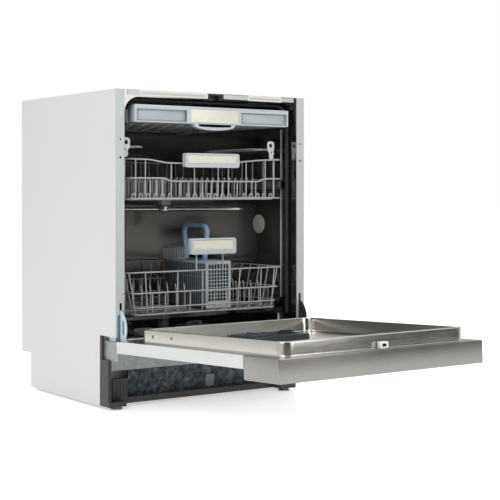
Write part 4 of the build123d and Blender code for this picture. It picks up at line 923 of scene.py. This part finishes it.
grip_drop = tray_z0 - room("tray_handle")[2][0]
stock = bmesh.new()
stamped_plate(stock, [smile(66, tray_z0 + 1, grip_drop - 2.6),
                      smile(50, tray_z0 - 2.5, 3.4)], "y", bar_d - 2, bar_d + 9, 1.8)
stamped_plate(stock, [smile(66, tray_z0 + 1, grip_drop - 3.2),
                      smile(56, tray_z0 - 1.5, 8.0)], "y", bar_d + 6, bar_d + 16, 1.0)
build("tray_grip", stock, 35, grip_frame, "top_tray", "light_plastic", "tray_handle")
stock = bmesh.new()
stamped_plate(stock, [rounded(-76, 76, tray_z0 + 3, bar_z1 - 7, 4)], "y", bar_d - 2.3,
              bar_d + 2.5, 1.2)
build("tray_panel", stock, 35, cream_panel, "top_tray", "cream_plastic")
stock = bmesh.new()
for side in (-1, 1):
    turned(stock, [(0, 0), (5.5, 0), (6.5, 1), (6.5, 4), (5.5, 5), (0, 5)],
           at(side * (runner_x - 5.2), 60, runner_z), (side, 0, 0), 24)
    block(stock, (side * 251 - 5, 26, 737.5), (side * 251 + 5, 40, 771), 1.5)
build("tray_rollers", stock, 35, grey_moulding, "top_tray", "grey_plastic")

# ---- Cutlery basket ---------------------------------------------------------------------------
# A moulded basket of four cells: ribbed sides in a blue-grey darkened with painted shade, a pale
# lattice in front, and a tall comb on the far half of its left wall. Its floor, dividers and the
# sheets behind the side ribs are near black, painted shade for the dark inside the cells. A light
# blue loop lifts it out.
# the side ribs take the basket's blue-grey darkened by the shade on its side: partly own colour,
# partly painted shade
rib_moulding = moulded("rib_moulding", (0.19, 0.24, 0.27), (0.27, 0.32, 0.35), 0.35)
# near black: painted shade for the dark inside the cells and behind the lattice
wall_moulding = moulded("wall_moulding", (0.030, 0.040, 0.048), (0.055, 0.068, 0.078), 0.4)
basket_pale = moulded("basket_pale", (0.46, 0.51, 0.53), (0.54, 0.59, 0.61), 0.35)
loop_blue = moulded("loop_blue", (0.22, 0.37, 0.60), (0.32, 0.47, 0.68), 0.3, Coat_Weight=0.2)
(bx0, bx1), (bd0, bd1), (bz0, _) = room("cutlery_basket")
bz1 = bz0 + 128
stock = bmesh.new()
block(stock, (bx0 + 1, bd0 + 1, bz0), (bx1 - 1, bd1 - 1, bz0 + 3), 0.8)
for x in (bx0 + 0.4, bx1 - 2.0):
    block(stock, (x, bd0 + 4, bz0 + 1), (x + 1.6, bd1 - 4, bz1 - 6), 0.4)
cell = (bd1 - bd0 - 2.5) / 4
for i in range(1, 4):
    block(stock, (bx0 + 1, bd0 + i * cell, bz0 + 2), (bx1 - 1, bd0 + i * cell + 2, bz1 - 8), 0.5)
build("basket_walls", stock, 35, wall_moulding, "cutlery_basket", "basket_plastic")
stock = bmesh.new()
rib = bmesh.new()
block(rib, (bx0 - 1.0, bd0 + 9, bz0 + 4), (bx0 + 2.0, bd0 + 13.2, bz1 - 7), 1.2)
stock.from_mesh(rowed(rib, 20, (0, 10.4, 0), rib_moulding, 2, (bx1 - bx0 - 1, 0, 0)))
for height in (bz0 + 5, bz0 + 44, bz0 + 84):
    for x in (bx0 - 0.4, bx1 - 1.6):
        block(stock, (x, bd0 + 4, height), (x + 2, bd1 - 4, height + 3), 0.6)
build("basket_ribs", stock, 35, rib_moulding, "cutlery_basket", "basket_plastic", "cutlery_basket")
stock = bmesh.new()
for depth in (bd0, bd1 - 2.4):
    stamped_plate(stock, [rounded(bx0, bx1, bz0, bz1, 2), rounded(
        bx0 + 8, bx1 - 8, bz0 + 20, bz1 - 9, 2)], "y", depth, depth + 2.4, 0.6)
    bar = bmesh.new()
    block(bar, (bx0 + 15.6, depth + 0.3, bz0 + 19), (bx0 + 17.8, depth + 2.1, bz1 - 8), 0.5)
    stock.from_mesh(rowed(bar, 6, (9.6, 0, 0), basket_pale))
    bar = bmesh.new()
    block(bar, (bx0 + 7, depth + 0.5, bz0 + 28), (bx1 - 7, depth + 1.9, bz0 + 29.8), 0.4)
    stock.from_mesh(rowed(bar, 9, (0, 0, 9.4), basket_pale))
for x in (bx0, bx1 - 3):
    block(stock, (x, bd0 + 1, bz1 - 7), (x + 3, bd1 - 1, bz1), 1.0)
block(stock, (bx0, bd1 - 120, bz1 + 30), (bx0 + 3, bd1, bz1 + 36), 1.2)
tine = bmesh.new()
block(tine, (bx0, bd1 - 120, bz1 - 4), (bx0 + 2.4, bd1 - 116.6, bz1 + 33), 0.6)
stock.from_mesh(rowed(tine, 14, (0, 9, 0), basket_pale))
for depth in (bd0 + 0.3, bd1 - 6.3):
    for x in (bx0 + 0.2, bx1 - 6.2):
        block(stock, (x, depth, bz0 + 0.5), (x + 6, depth + 6, bz1 - 1), 2.0, 3)
build("basket_lattice", stock, 35, basket_pale, "cutlery_basket", "basket_plastic")
_, (ld0, ld1), (_, lz1) = room("cutlery_basket_handle")
stock = bmesh.new()
# narrow at its foot, with the two rounded corners of a rectangle on top
outer_line, inner_line = (
    [(ld0 + inset, foot), (ld1 - inset, foot), *rounded(
        ld0 + wall, ld1 - wall, foot, lz1 - drop, radius, 9)[:20]]
    for inset, foot, wall, drop, radius in ((12, bz1 - 8, 0, 0, 24), (22, bz1 + 2, 9, 10, 17)))
stamped_plate(stock, [outer_line, inner_line], "x", 50.2, 63.8, 2.4)
block(stock, (bx0 + 2.6, ld0 + 1, bz1 - 6), (bx1 - 2.6, ld0 + 7, bz1 - 0.4), 1.2)
block(stock, (bx0 + 2.6, ld1 - 7, bz1 - 6), (bx1 - 2.6, ld1 - 1, bz1 - 0.4), 1.2)
build("basket_loop", stock, 40, loop_blue, "cutlery_basket",
      "blue_plastic", "cutlery_basket_handle")

# ---- Spray arms, filter and salt cap ----------------------------------------------------------
# The arms are hollow blades with jets along them: the lower one is grey plastic with raised lines,
# the upper one steel. A steel-meshed filter and a ribbed salt cap close the floor of the tub.
arm_steel = rolled("arm_steel", (0.40, 0.40, 0.39), (0.54, 0.54, 0.52), 0.26, (0.02, 1, 1))
arm_moulding = moulded("arm_moulding", (0.20, 0.22, 0.24), (0.30, 0.32, 0.34), 0.22,
                       Coat_Weight=0.4, Coat_Roughness=0.1)
jet = bmesh.new()
turned(jet, [(0, -1), (3.4, -1), (3.4, 0.2), (2.6, 1.2), (1.3, 1.6), (1.1, 0.6), (0, 0.5)],
       Vector(), (0, 0, 1), 16)
jet_mesh = made_mesh("jet", jet, 30)
stations, corners = 61, 28
for name, finish, slot, ridges, turn in (
        ("lower_spray_arm", arm_moulding, "arm_plastic", 1.0, 0.0),
        ("upper_spray_arm", arm_steel, "arm_steel", 0.0, -28.0)):
    hub_d, z0, reach = node_middle(name)[1], room(name)[2][0] + 1, 226.0
    stock = bmesh.new()
    rings = []
    for i in range(stations):
        s = -1 + 2 * i / (stations - 1)
        wide = 17.8 * max(0.02, 1 - abs(s) ** 9) ** 0.5 * (0.8 + 0.2 * math.cos(s * 2.2))
        thick = 5.9 * max(0.05, 1 - abs(s) ** 14) ** 0.5
        ring = []
        for k in range(corners):
            a = math.tau * k / corners
            u, v = math.cos(a), math.sin(a)
            lift = ridges * 0.7 * math.cos(u * 9.5) * max(0.0, v) * (abs(s) < 0.9)
            ring.append(at(s * reach, hub_d + wide * u * abs(u) ** -0.25 if u else hub_d,
                           z0 + 6 + thick * v * abs(v) ** -0.4 + lift if v else z0 + 6))
        rings.append(ring)
    lofted(stock, rings)
    cap_ends(stock, corners)
    turned(stock, [(9.2, -0.8), (18, -1), (22, 1), (22, 13), (20, 15.5), (14, 16), (13, 15),
                   (9.2, 15), (9.2, -0.8)], at(0, hub_d, z0), (0, 0, 1), 40)
    stock.from_mesh(stamp_parts(jet_mesh.copy(), [
        (side * share * reach, hub_d + shift, z0 + 11.4) for side in (-1, 1)
        for share, shift in ((0.2, 4), (0.35, -5), (0.5, 5), (0.66, -4), (0.8, 3), (0.92, 0))],
        (0, 0, 0), finish))
    mesh = made_mesh(name + "_blade", stock, 40)
    centre = at(0, hub_d, 0)
    mesh.transform(Matrix.Translation(centre) @ Matrix.Rotation(math.radians(turn), 4, "Z")
                   @ Matrix.Translation(-centre))
    piece(name + "_blade", mesh, finish, name, slot, name)

mesh_steel = Finish("filter_mesh", Metallic=0.9)
hole = mesh_steel.node("ShaderNodeTexVoronoi", {"feature": "F1"},
                       {"Vector": mesh_steel.place, "Scale": 420.0, "Randomness": 0.05},
                       output="Distance")
open_spot = hole < 0.34
stain = mesh_steel.noise(30.0)
mesh_steel.surface(mesh_steel.tint(open_spot, (0.42, 0.42, 0.41), (0.01, 0.01, 0.01)),
                   stain * 0.2 + 0.25, 1 - open_spot, 0.3)
fx, fd, _ = node_middle("micro_filter")
stock = bmesh.new()
turned(stock, [(31, 150), (34, 150), (34, 179), (50, 180.4), (53, 182.6), (55, 182.8),
               (55, 180.2), (53, 179.6), (33, 178.4), (31, 178), (31, 150)],
       at(fx, fd, 0), (0, 0, 1), 56)
build("filter_plate", stock, 35, mesh_steel, "micro_filter", "tub_steel", "micro_filter")
stock = bmesh.new()
turned(stock, [(0, 178), (33, 178), (36, 181), (36, 183.4), (33, 184.4), (28, 182.4),
               (0, 182)], at(fx, fd, 0), (0, 0, 1), 48)
stamped_plate(stock, [rounded(fx - 26, fx + 26, 180, 194, 5),
                      rounded(fx - 14, fx + 14, 184, 190, 2.5)], "y", fd - 3.6, fd + 3.6, 1.0)
build("filter_grip", stock, 35, grey_moulding, "micro_filter", "grey_plastic")
sx, sd, _ = node_middle("salt_cap")
stock = bmesh.new()
turned(stock, [(0, 164), (22.6, 164), (22.6, 166), (21.6, 167), (22.6, 168.4), (21.6, 170),
               (22.6, 171.4), (22.6, 180), (32, 180), (33, 181), (33, 186), (31, 188.6),
               (26, 189), (24, 187.4), (0, 187.4)], at(sx, sd, 0), (0, 0, 1), 48)
stamped_plate(stock, [rounded(sx - 28, sx + 28, 186, 195, 4)], "y", sd - 4, sd + 4, 1.5)
studs(stock, at(sx, sd, 184), "Z", 24, (32.6, 0, 0), (0.8, 2.6, 5))
build("salt_lid", stock, 35, grey_moulding, "salt_cap", "grey_plastic", "salt_cap")

# ---- Door: panel, liner and fascia ------------------------------------------------------------
# The outer panel is enamelled sheet. The liner is one stainless pressing with a hollow rim round a
# dished floor. The fascia is a folded box of brushed steel with three round holes.
hinge = next(joint for joint in frame["joints"] if joint["name"] == "door_hinge")
pin = Vector(hinge["pos_m"])
OPEN = math.radians(87.5)
lowered = Matrix.Translation(pin) @ Matrix.Rotation(OPEN, 4, "X") @ Matrix.Translation(-pin)


def hung(name, stock, finish, body, slot, *replaced, smooth_below=35):
    """A door part drawn shut is turned down about the pin and hung on its body."""
    mesh = made_mesh(name, stock, smooth_below)
    mesh.transform(lowered)
    return piece(name, mesh, finish, body, slot, *replaced)


def cut_from(stock, *cutters):
    """The stock less each cutter, as a new stock."""
    holder = bpy.data.objects.new("cut", made_mesh("cut", stock))
    bpy.context.scene.collection.objects.link(holder)
    tools = [holder]
    for cutter in cutters:
        tool = bpy.data.objects.new("cutter", made_mesh("cutter", cutter))
        bpy.context.scene.collection.objects.link(tool)
        tools.append(tool)
        step = holder.modifiers.new("cut", "BOOLEAN")
        step.operation, step.solver, step.object = "DIFFERENCE", "EXACT", tool
    graph = bpy.context.evaluated_depsgraph_get()
    mesh = bpy.data.meshes.new_from_object(holder.evaluated_get(graph), depsgraph=graph)
    for tool in tools:
        bpy.data.objects.remove(tool)
    result = bmesh.new()
    result.from_mesh(mesh)
    return result


liner_steel = rolled("liner_steel", (0.55, 0.53, 0.49), (0.68, 0.66, 0.61), 0.22,
                     (0.02, 0.22, 0.22), 0.001)
fascia_steel = rolled("fascia_steel", (0.25, 0.243, 0.225), (0.34, 0.33, 0.31), 0.30,
                      (0.015, 1, 1), 0.012)
dress(white_enamel, "door_outer_panel")
door_half, rim_half, rim_low, rim_high = 297.5, 268.0, 192.0, 795.5
step_z, door_low, door_top, face_d = 686.5, 128.5, 817.5, -57.0

# the rim's section, as (inset, depth): up the outer wall, over, down inside, then back beneath
rim_section = [(-2.5, -3.1), (-1.0, -2.7), (-0.2, -1.6), (0, 0), (0, 25.5), (0.5, 27.4),
               (1.6, 28.6), (3, 29), (7, 29), (8.4, 28.6), (9.5, 27.4), (10, 25.5), (10, -4.5),
               (10.6, -6.6), (12, -7.7), (14, -8)]
under_section = [(14, -9), (11.5, -8.7), (9.7, -7.2), (9, -4.6), (9, 25.3), (8.5, 27),
                 (7, 28), (3, 28), (1.5, 27), (1, 25.3), (1, -1), (0.4, -3), (-2.5, -4.1)]


ring_size = 44


def rim_ring(inset, depth):
    return [at(x, depth, z) for x, z in rounded(
        -rim_half + inset, rim_half - inset, rim_low + inset, rim_high - inset,
        30 - 0.8 * inset, 10)]


stock = bmesh.new()
lofted(stock, [rim_ring(*spot) for spot in rim_section])
stock.faces.new(list(stock.verts)[-ring_size:])
before = len(stock.verts)
lofted(stock, [rim_ring(*spot) for spot in under_section])
under = list(stock.verts)
stock.faces.new(under[before:before + ring_size])
first_ring, last_ring = under[:ring_size], under[-ring_size:]
for i in range(ring_size):
    j = i + 1 - ring_size
    stock.faces.new([first_ring[i], first_ring[j], last_ring[j], last_ring[i]])
bmesh.ops.recalc_face_normals(stock, faces=stock.faces)
corner = [(x, z) for x, z in rounded(-rim_half - 1, rim_half + 1, rim_low - 1, rim_high, 30)
          if z < rim_low + 40]
low_edge = sorted((p for p in corner if p[0] > 0), key=lambda p: -p[1]) + sorted(
    (p for p in corner if p[0] < 0), key=lambda p: p[1])
stamped_plate(stock, [[(-door_half, step_z), (-door_half, 166), (-280, 166),
                       (-280, door_low + 1), (280, door_low + 1), (280, 166),
                       (door_half, 166), (door_half, step_z), (rim_half + 1, step_z),
                       *low_edge, (-rim_half - 1, step_z)]], "y", -4, -3, 0.25)
hung("liner_pressing", stock, liner_steel, "door", "tub_steel", "door_liner", smooth_below=40)

stock = bmesh.new()
block(stock, (-door_half, face_d, step_z), (door_half, -3, door_top), 2.6, 4)
hollow = bmesh.new()
skin = 1.6
block(hollow, (-door_half + skin, face_d + skin, step_z + skin),
      (door_half - skin, -3 - skin, door_top - skin), 2.0, 3)
mouth = bmesh.new()
mouth_rings = [[at(x, depth, z) for x, z in rounded(-rim_half - 0.4, rim_half + 0.4, 600,
                                                    rim_high + 0.4, 30, 10)]
               for depth in (-9, 4)]
lofted(mouth, mouth_rings)
cap_ends(mouth, ring_size)
buttons = {"power_button": -252.0, "program_button": 222.0, "start_button": 252.0}
button_z = door_top - 62
drills = []
for x in buttons.values():
    drill = bmesh.new()
    turned(drill, [(0, -4), (8.3, -4), (8.3, 6), (0, 6)], at(x, face_d, button_z), (0, 1, 0), 48)
    drills.append(drill)
hung("fascia_skin", cut_from(stock, hollow, mouth, *drills), fascia_steel, "door",
     "fascia_steel", "door_fascia", smooth_below=30)

# ---- Door: buttons, striker and small fixings -------------------------------------------------
# Satin buttons stand a little proud of the fascia. The striker is a white block, its hole lined
# with a dark sleeve that is painted shade to keep the hole black, and small grey plugs close the
# fixing holes round it and in the rim's side.
satin_button = rolled("satin_button", (0.55, 0.54, 0.52), (0.66, 0.65, 0.63), 0.25, (1, 1, 1))
for name, x in buttons.items():
    stock = bmesh.new()
    turned(stock, [(0, 0.5), (4, 0.2), (6.2, -0.3), (7.2, -1.1), (7.7, -1.4), (8.0, -1.0),
                   (8.0, 1.5), (11, 1.7), (11, 3.6), (8, 4), (8, 7.6), (0, 8)],
           at(x, face_d, button_z), (0, 1, 0), 48)
    hung(name + "_cap", stock, satin_button, name, "fascia_steel", name)
stock = bmesh.new()
stamped_plate(stock, [rounded(-12, 12, -3, 13, 2.5), rounded(-6.2, 6.2, 1.8, 8.2, 1.6)], "z",
              799, 810, 1.0)
hung("striker_block", stock, clip_white, "door", "white_plastic", "door_striker")
# the dark sleeve lines the striker's hole: painted shade, so the hole reads black
stock = bmesh.new()
stamped_plate(stock, [rounded(-6.2, 6.2, 1.8, 8.2, 1.6), rounded(-5, 5, 3, 7, 1.2)], "z",
              799.4, 809.7, 0.2)
hung("striker_sleeve", stock, black_moulding, "door", "black_plastic")
stock = bmesh.new()
for x in (-34, 34):
    turned(stock, [(0, 0.3), (3.0, 0.25), (3.7, 0.1), (3.8, 0), (3.8, -2), (0, -2)],
           at(x, -3, 806), (0, 1, 0), 20)
for side in (-1, 1):
    for z in (258, 344):
        turned(stock, [(0, 1.0), (3.4, 0.9), (4.6, 0.4), (4.8, 0), (4.8, -0.9), (0, -0.9)],
               at(side * rim_half, 13, z), (side, 0, 0), 20)
hung("door_plugs", stock, grey_moulding, "door", "grey_plastic")
for tag, side in (("left", -1), ("right", 1)):
    stock = bmesh.new()
    stock.from_mesh(stamp_parts(screw_head(3.4), [(side * 283, -4.4, z) for z in (268, 430, 600)],
                                (-90, 0, 0), screw_steel))
    hung("liner_screws_" + tag, stock, screw_steel, "door", "hinge_steel")

# ---- Door: detergent dispenser ----------------------------------------------------------------
# A dark blue-grey housing clipped into the liner's floor, with a deep cup under a sliding lid and
# a round cap with a finger bar for the rinse aid. Ribs stiffen the cup and the lid is ridged.
dispenser_blue = moulded("dispenser_blue", (0.050, 0.062, 0.085), (0.085, 0.100, 0.13), 0.35,
                         Coat_Weight=0.15)
dispenser_dark = moulded("dispenser_dark", (0.020, 0.024, 0.032), (0.04, 0.045, 0.055), 0.42)
cup_z = 271.5
stock = bmesh.new()
outline = rounded(-64, 122, cup_z, cup_z + 118, 12)
stamped_plate(stock, [outline], "y", -8, -3.9, 0.4)
stamped_plate(stock, [outline, rounded(-54, 16, cup_z + 20, cup_z + 98, 7),
                      circle(90, cup_z + 52, 17.4)], "y", -4.3, 3.9, 1.3)
for i in range(5):
    block(stock, (-50 + i * 15, -4.2, cup_z + 24), (-48.6 + i * 15, -3.0, cup_z + 94), 0.4)
block(stock, (32, 3.4, cup_z + 16), (58, 6.4, cup_z + 40), 2.2, 3)
turned(stock, [(0, 5.4), (5, 5.2), (6.6, 4.6), (7, 3.6), (0, 3.6)],
       at(90, 0, cup_z + 98), (0, 1, 0), 28)
hung("dispenser_body", stock, dispenser_dark, "door", "blue_grey_plastic", "dispenser_housing")
stock = bmesh.new()
stamped_plate(stock, [rounded(-59, 21, cup_z + 14, cup_z + 104, 8)], "y", 4.2, 7, 1.0)
for i in range(6):
    block(stock, (-21.6, 6.6, cup_z + 31 + i * 10), (-10.4, 11, cup_z + 36.4 + i * 10), 1.4)
block(stock, (-21, 6.4, cup_z + 30), (-11, 9.6, cup_z + 88), 1.2)
for x in (-52, -44, 4, 12):
    block(stock, (x, 6.6, cup_z + 22), (x + 2, 7.6, cup_z + 96), 0.4)
hung("dispenser_cover", stock, dispenser_blue, "dispenser_lid", "blue_grey_plastic",
     "dispenser_lid")
stock = bmesh.new()
turned(stock, [(0, -3), (16.8, -3), (16.8, 4.4), (20, 4.6), (21, 5.4), (21, 7.2), (19.6, 8),
               (15, 8), (13.6, 7.2), (0, 7.2)], at(90, 0, cup_z + 52), (0, 1, 0), 48)
block(stock, (73.4, 6.6, cup_z + 49.2), (106.6, 12, cup_z + 54.8), 1.6, 3)
studs(stock, at(90, 6.2, cup_z + 52), "Y", 28, (20.6, 0, 0), (1.0, 2.6, 1.8))
hung("rinse_knob", stock, dispenser_dark, "rinse_cap", "blue_grey_plastic", "rinse_cap")

# ---- Door: hinge arms -------------------------------------------------------------------------
# Each arm is a bored steel plate with a round ear that slides through its slot. The left one has
# a pale blue jacket with a dark slot, and the right one is black.
jacket_blue = moulded("jacket_blue", (0.50, 0.60, 0.66), (0.56, 0.66, 0.71), 0.35)
slot_teal = moulded("slot_teal", (0.090, 0.17, 0.20), (0.12, 0.21, 0.24), 0.4)
pin_d, pin_z = (pin.y - front) * 1000, pin.z * 1000
ear_d, ear_z = 28.5, 109.0


def lifted(depth, z):
    """Where a spot of the open door lies while the door is drawn shut."""
    u, v = depth - pin_d, z - pin_z
    return (pin_d + u * math.cos(OPEN) + v * math.sin(OPEN),
            pin_z - u * math.sin(OPEN) + v * math.cos(OPEN))


run = math.hypot(ear_d - pin_d, ear_z - pin_z)
across_d, across_z = -(ear_z - pin_z) / run * 11, (ear_d - pin_d) / run * 11
web = [(pin_d + 5, pin_z + 2), (pin_d + 5, pin_z + 28), (ear_d + across_d, ear_z + across_z),
       (ear_d - across_d, ear_z - across_z), (pin_d + 4, pin_z - 4)]
slot_line = [lifted(*spot) for spot in rounded(-22, -11, 190, 234, 5)]
for tag, side, finish in (("left", -1, jacket_blue), ("right", 1, black_moulding)):
    x0, x1 = sorted((side * 283.0, side * 286.0))
    stock = bmesh.new()
    stamped_plate(stock, [circle(ear_d, ear_z, 50, 64), slot_line], "x", x0, x1, 0.5)
    stamped_plate(stock, [web], "x", x0 + 0.1, x1 - 0.1, 0.4)
    stamped_plate(stock, [rounded(pin_d - 1, pin_d + 22, pin_z, step_z - 260, 3)], "x",
                  x0 + 0.15, x1 - 0.15, 0.4)
    stamped_plate(stock, [circle(pin_d, pin_z, 6), circle(pin_d, pin_z, 3.1, 24)], "x",
                  x0 + 0.05, x1 - 0.05, 0.3)
    hung("hinge_arm_" + tag, stock, finish, "door", "hinge_steel",
         *(["hinge_arms"] if side < 0 else []))
    stock = bmesh.new()
    x0, x1 = sorted((side * 283.4, side * 284.6))
    stamped_plate(stock, [[lifted(*spot) for spot in rounded(-23, -10, 189, 235, 5)]], "x",
                  x0, x1, 0.2)
    hung("hinge_insert_" + tag, stock, slot_teal if side < 0 else black_moulding, "door",
         "hinge_steel")
    stock = bmesh.new()
    x0, x1 = sorted((side * 281.0, side * 294.0))
    y0, y1 = sorted((side * 282.4, side * 286.6))
    stamped_plate(stock, [rounded(x0, x1, 168, 247, 2), rounded(y0, y1, 174, 243, 1)], "y",
                  -2.6, -0.9, 0.3)
    build("slot_cover_" + tag, stock, 40,
          slot_teal if side < 0 else black_moulding, "cabinet", "black_plastic")

# ---- Floor, light and camera ------------------------------------------------------------------
# A plain pale floor under soft studio light: one broad lamp over the left, one in front, and a
# weak one behind that lifts the edges.
ground = bpy.data.meshes.new("floor")
ground.from_pydata([(x, y, 0.0) for x, y in ((-30, -30), (30, -30), (30, 30), (-30, 30))], [],
                   [(0, 1, 2, 3)])
floor = bpy.data.objects.new("floor", ground)
bpy.context.scene.collection.objects.link(floor)
pale = Finish("pale_floor")
speck = pale.noise(3.0)
pale.surface(pale.tint(speck, (0.90, 0.90, 0.90), (0.92, 0.92, 0.92)), speck * 0.1 + 0.5,
             speck, 0.1)
pale.shader.inputs["Emission Color"].default_value = (1, 1, 1, 1)
pale.shader.inputs["Emission Strength"].default_value = 0.5
ground.materials.append(pale.material)


def lamp(name, place, aim, size, power):
    """A square soft box at a place, aimed at a point."""
    light = bpy.data.lights.new(name, "AREA")
    light.size, light.energy = size, power
    holder = bpy.data.objects.new(name, light)
    holder.location = place
    holder.rotation_euler = (Vector(aim) - Vector(place)).to_track_quat("-Z", "Y").to_euler()
    bpy.context.scene.collection.objects.link(holder)


lamp("key_left", (-3.2, -1.6, 2.6), (0, 0, 0.45), 2.0, 52)
lamp("front_soft", (0.8, -3.6, 1.9), (0, 0, 0.4), 2.2, 45)
lamp("back_soft", (1.8, 2.6, 2.4), (0, 0, 0.5), 1.5, 30)

world = bpy.data.worlds.new("studio")
bpy.context.scene.world = world
world.use_nodes = True
sky = Board(world.node_tree)
camera_ray = sky.node("ShaderNodeLightPath", output="Is Camera Ray")
facing = sky.node("ShaderNodeTexCoord", output="Generated")
along, height = (sky.node("ShaderNodeSeparateXYZ", {}, {0: facing}, output=axis) for axis in "YZ")
walls = sky.node("ShaderNodeValToRGB", {"stops": [
    (0.0, (0.25, 0.25, 0.25, 1)), (0.5, (0.62, 0.62, 0.62, 1)), (1.0, (0.85, 0.85, 0.85, 1))]},
    {0: height * 0.5 + 0.5})
# the studio is dark on the user's side, so the deep tub has something dim to mirror
dim = sky.node("ShaderNodeMath", {"operation": "MULTIPLY", "use_clamp": True}, {
    0: (along * -1 - 0.25) * 3, 1: 1 - height * height * 1.4})
studio_tone = sky.node("ShaderNodeMix", {"data_type": "RGBA"}, {
    0: dim, 6: walls, 7: (0.035, 0.035, 0.038, 1)}, output=2)
shown = sky.node("ShaderNodeMix", {"data_type": "RGBA"}, {
    0: camera_ray, 6: studio_tone, 7: (1, 1, 1, 1)}, output=2)
background = world.node_tree.nodes["Background"]
sky.feed(shown, background.inputs["Color"])
background.inputs["Strength"].default_value = 1.0

scene = bpy.context.scene
scene.view_settings.view_transform = "Standard"
lens = bpy.data.cameras.new("camera")
lens.lens, lens.sensor_width = 91.8, 36.0
lens.shift_x, lens.shift_y = -0.001, -0.118
lens.clip_end = 100.0
camera = bpy.data.objects.new("camera", lens)
camera.location = (-1.874, -3.078, 0.561)
camera.rotation_euler = (math.radians(90), 0, math.radians(-35.172))
scene.collection.objects.link(camera)
scene.camera = camera
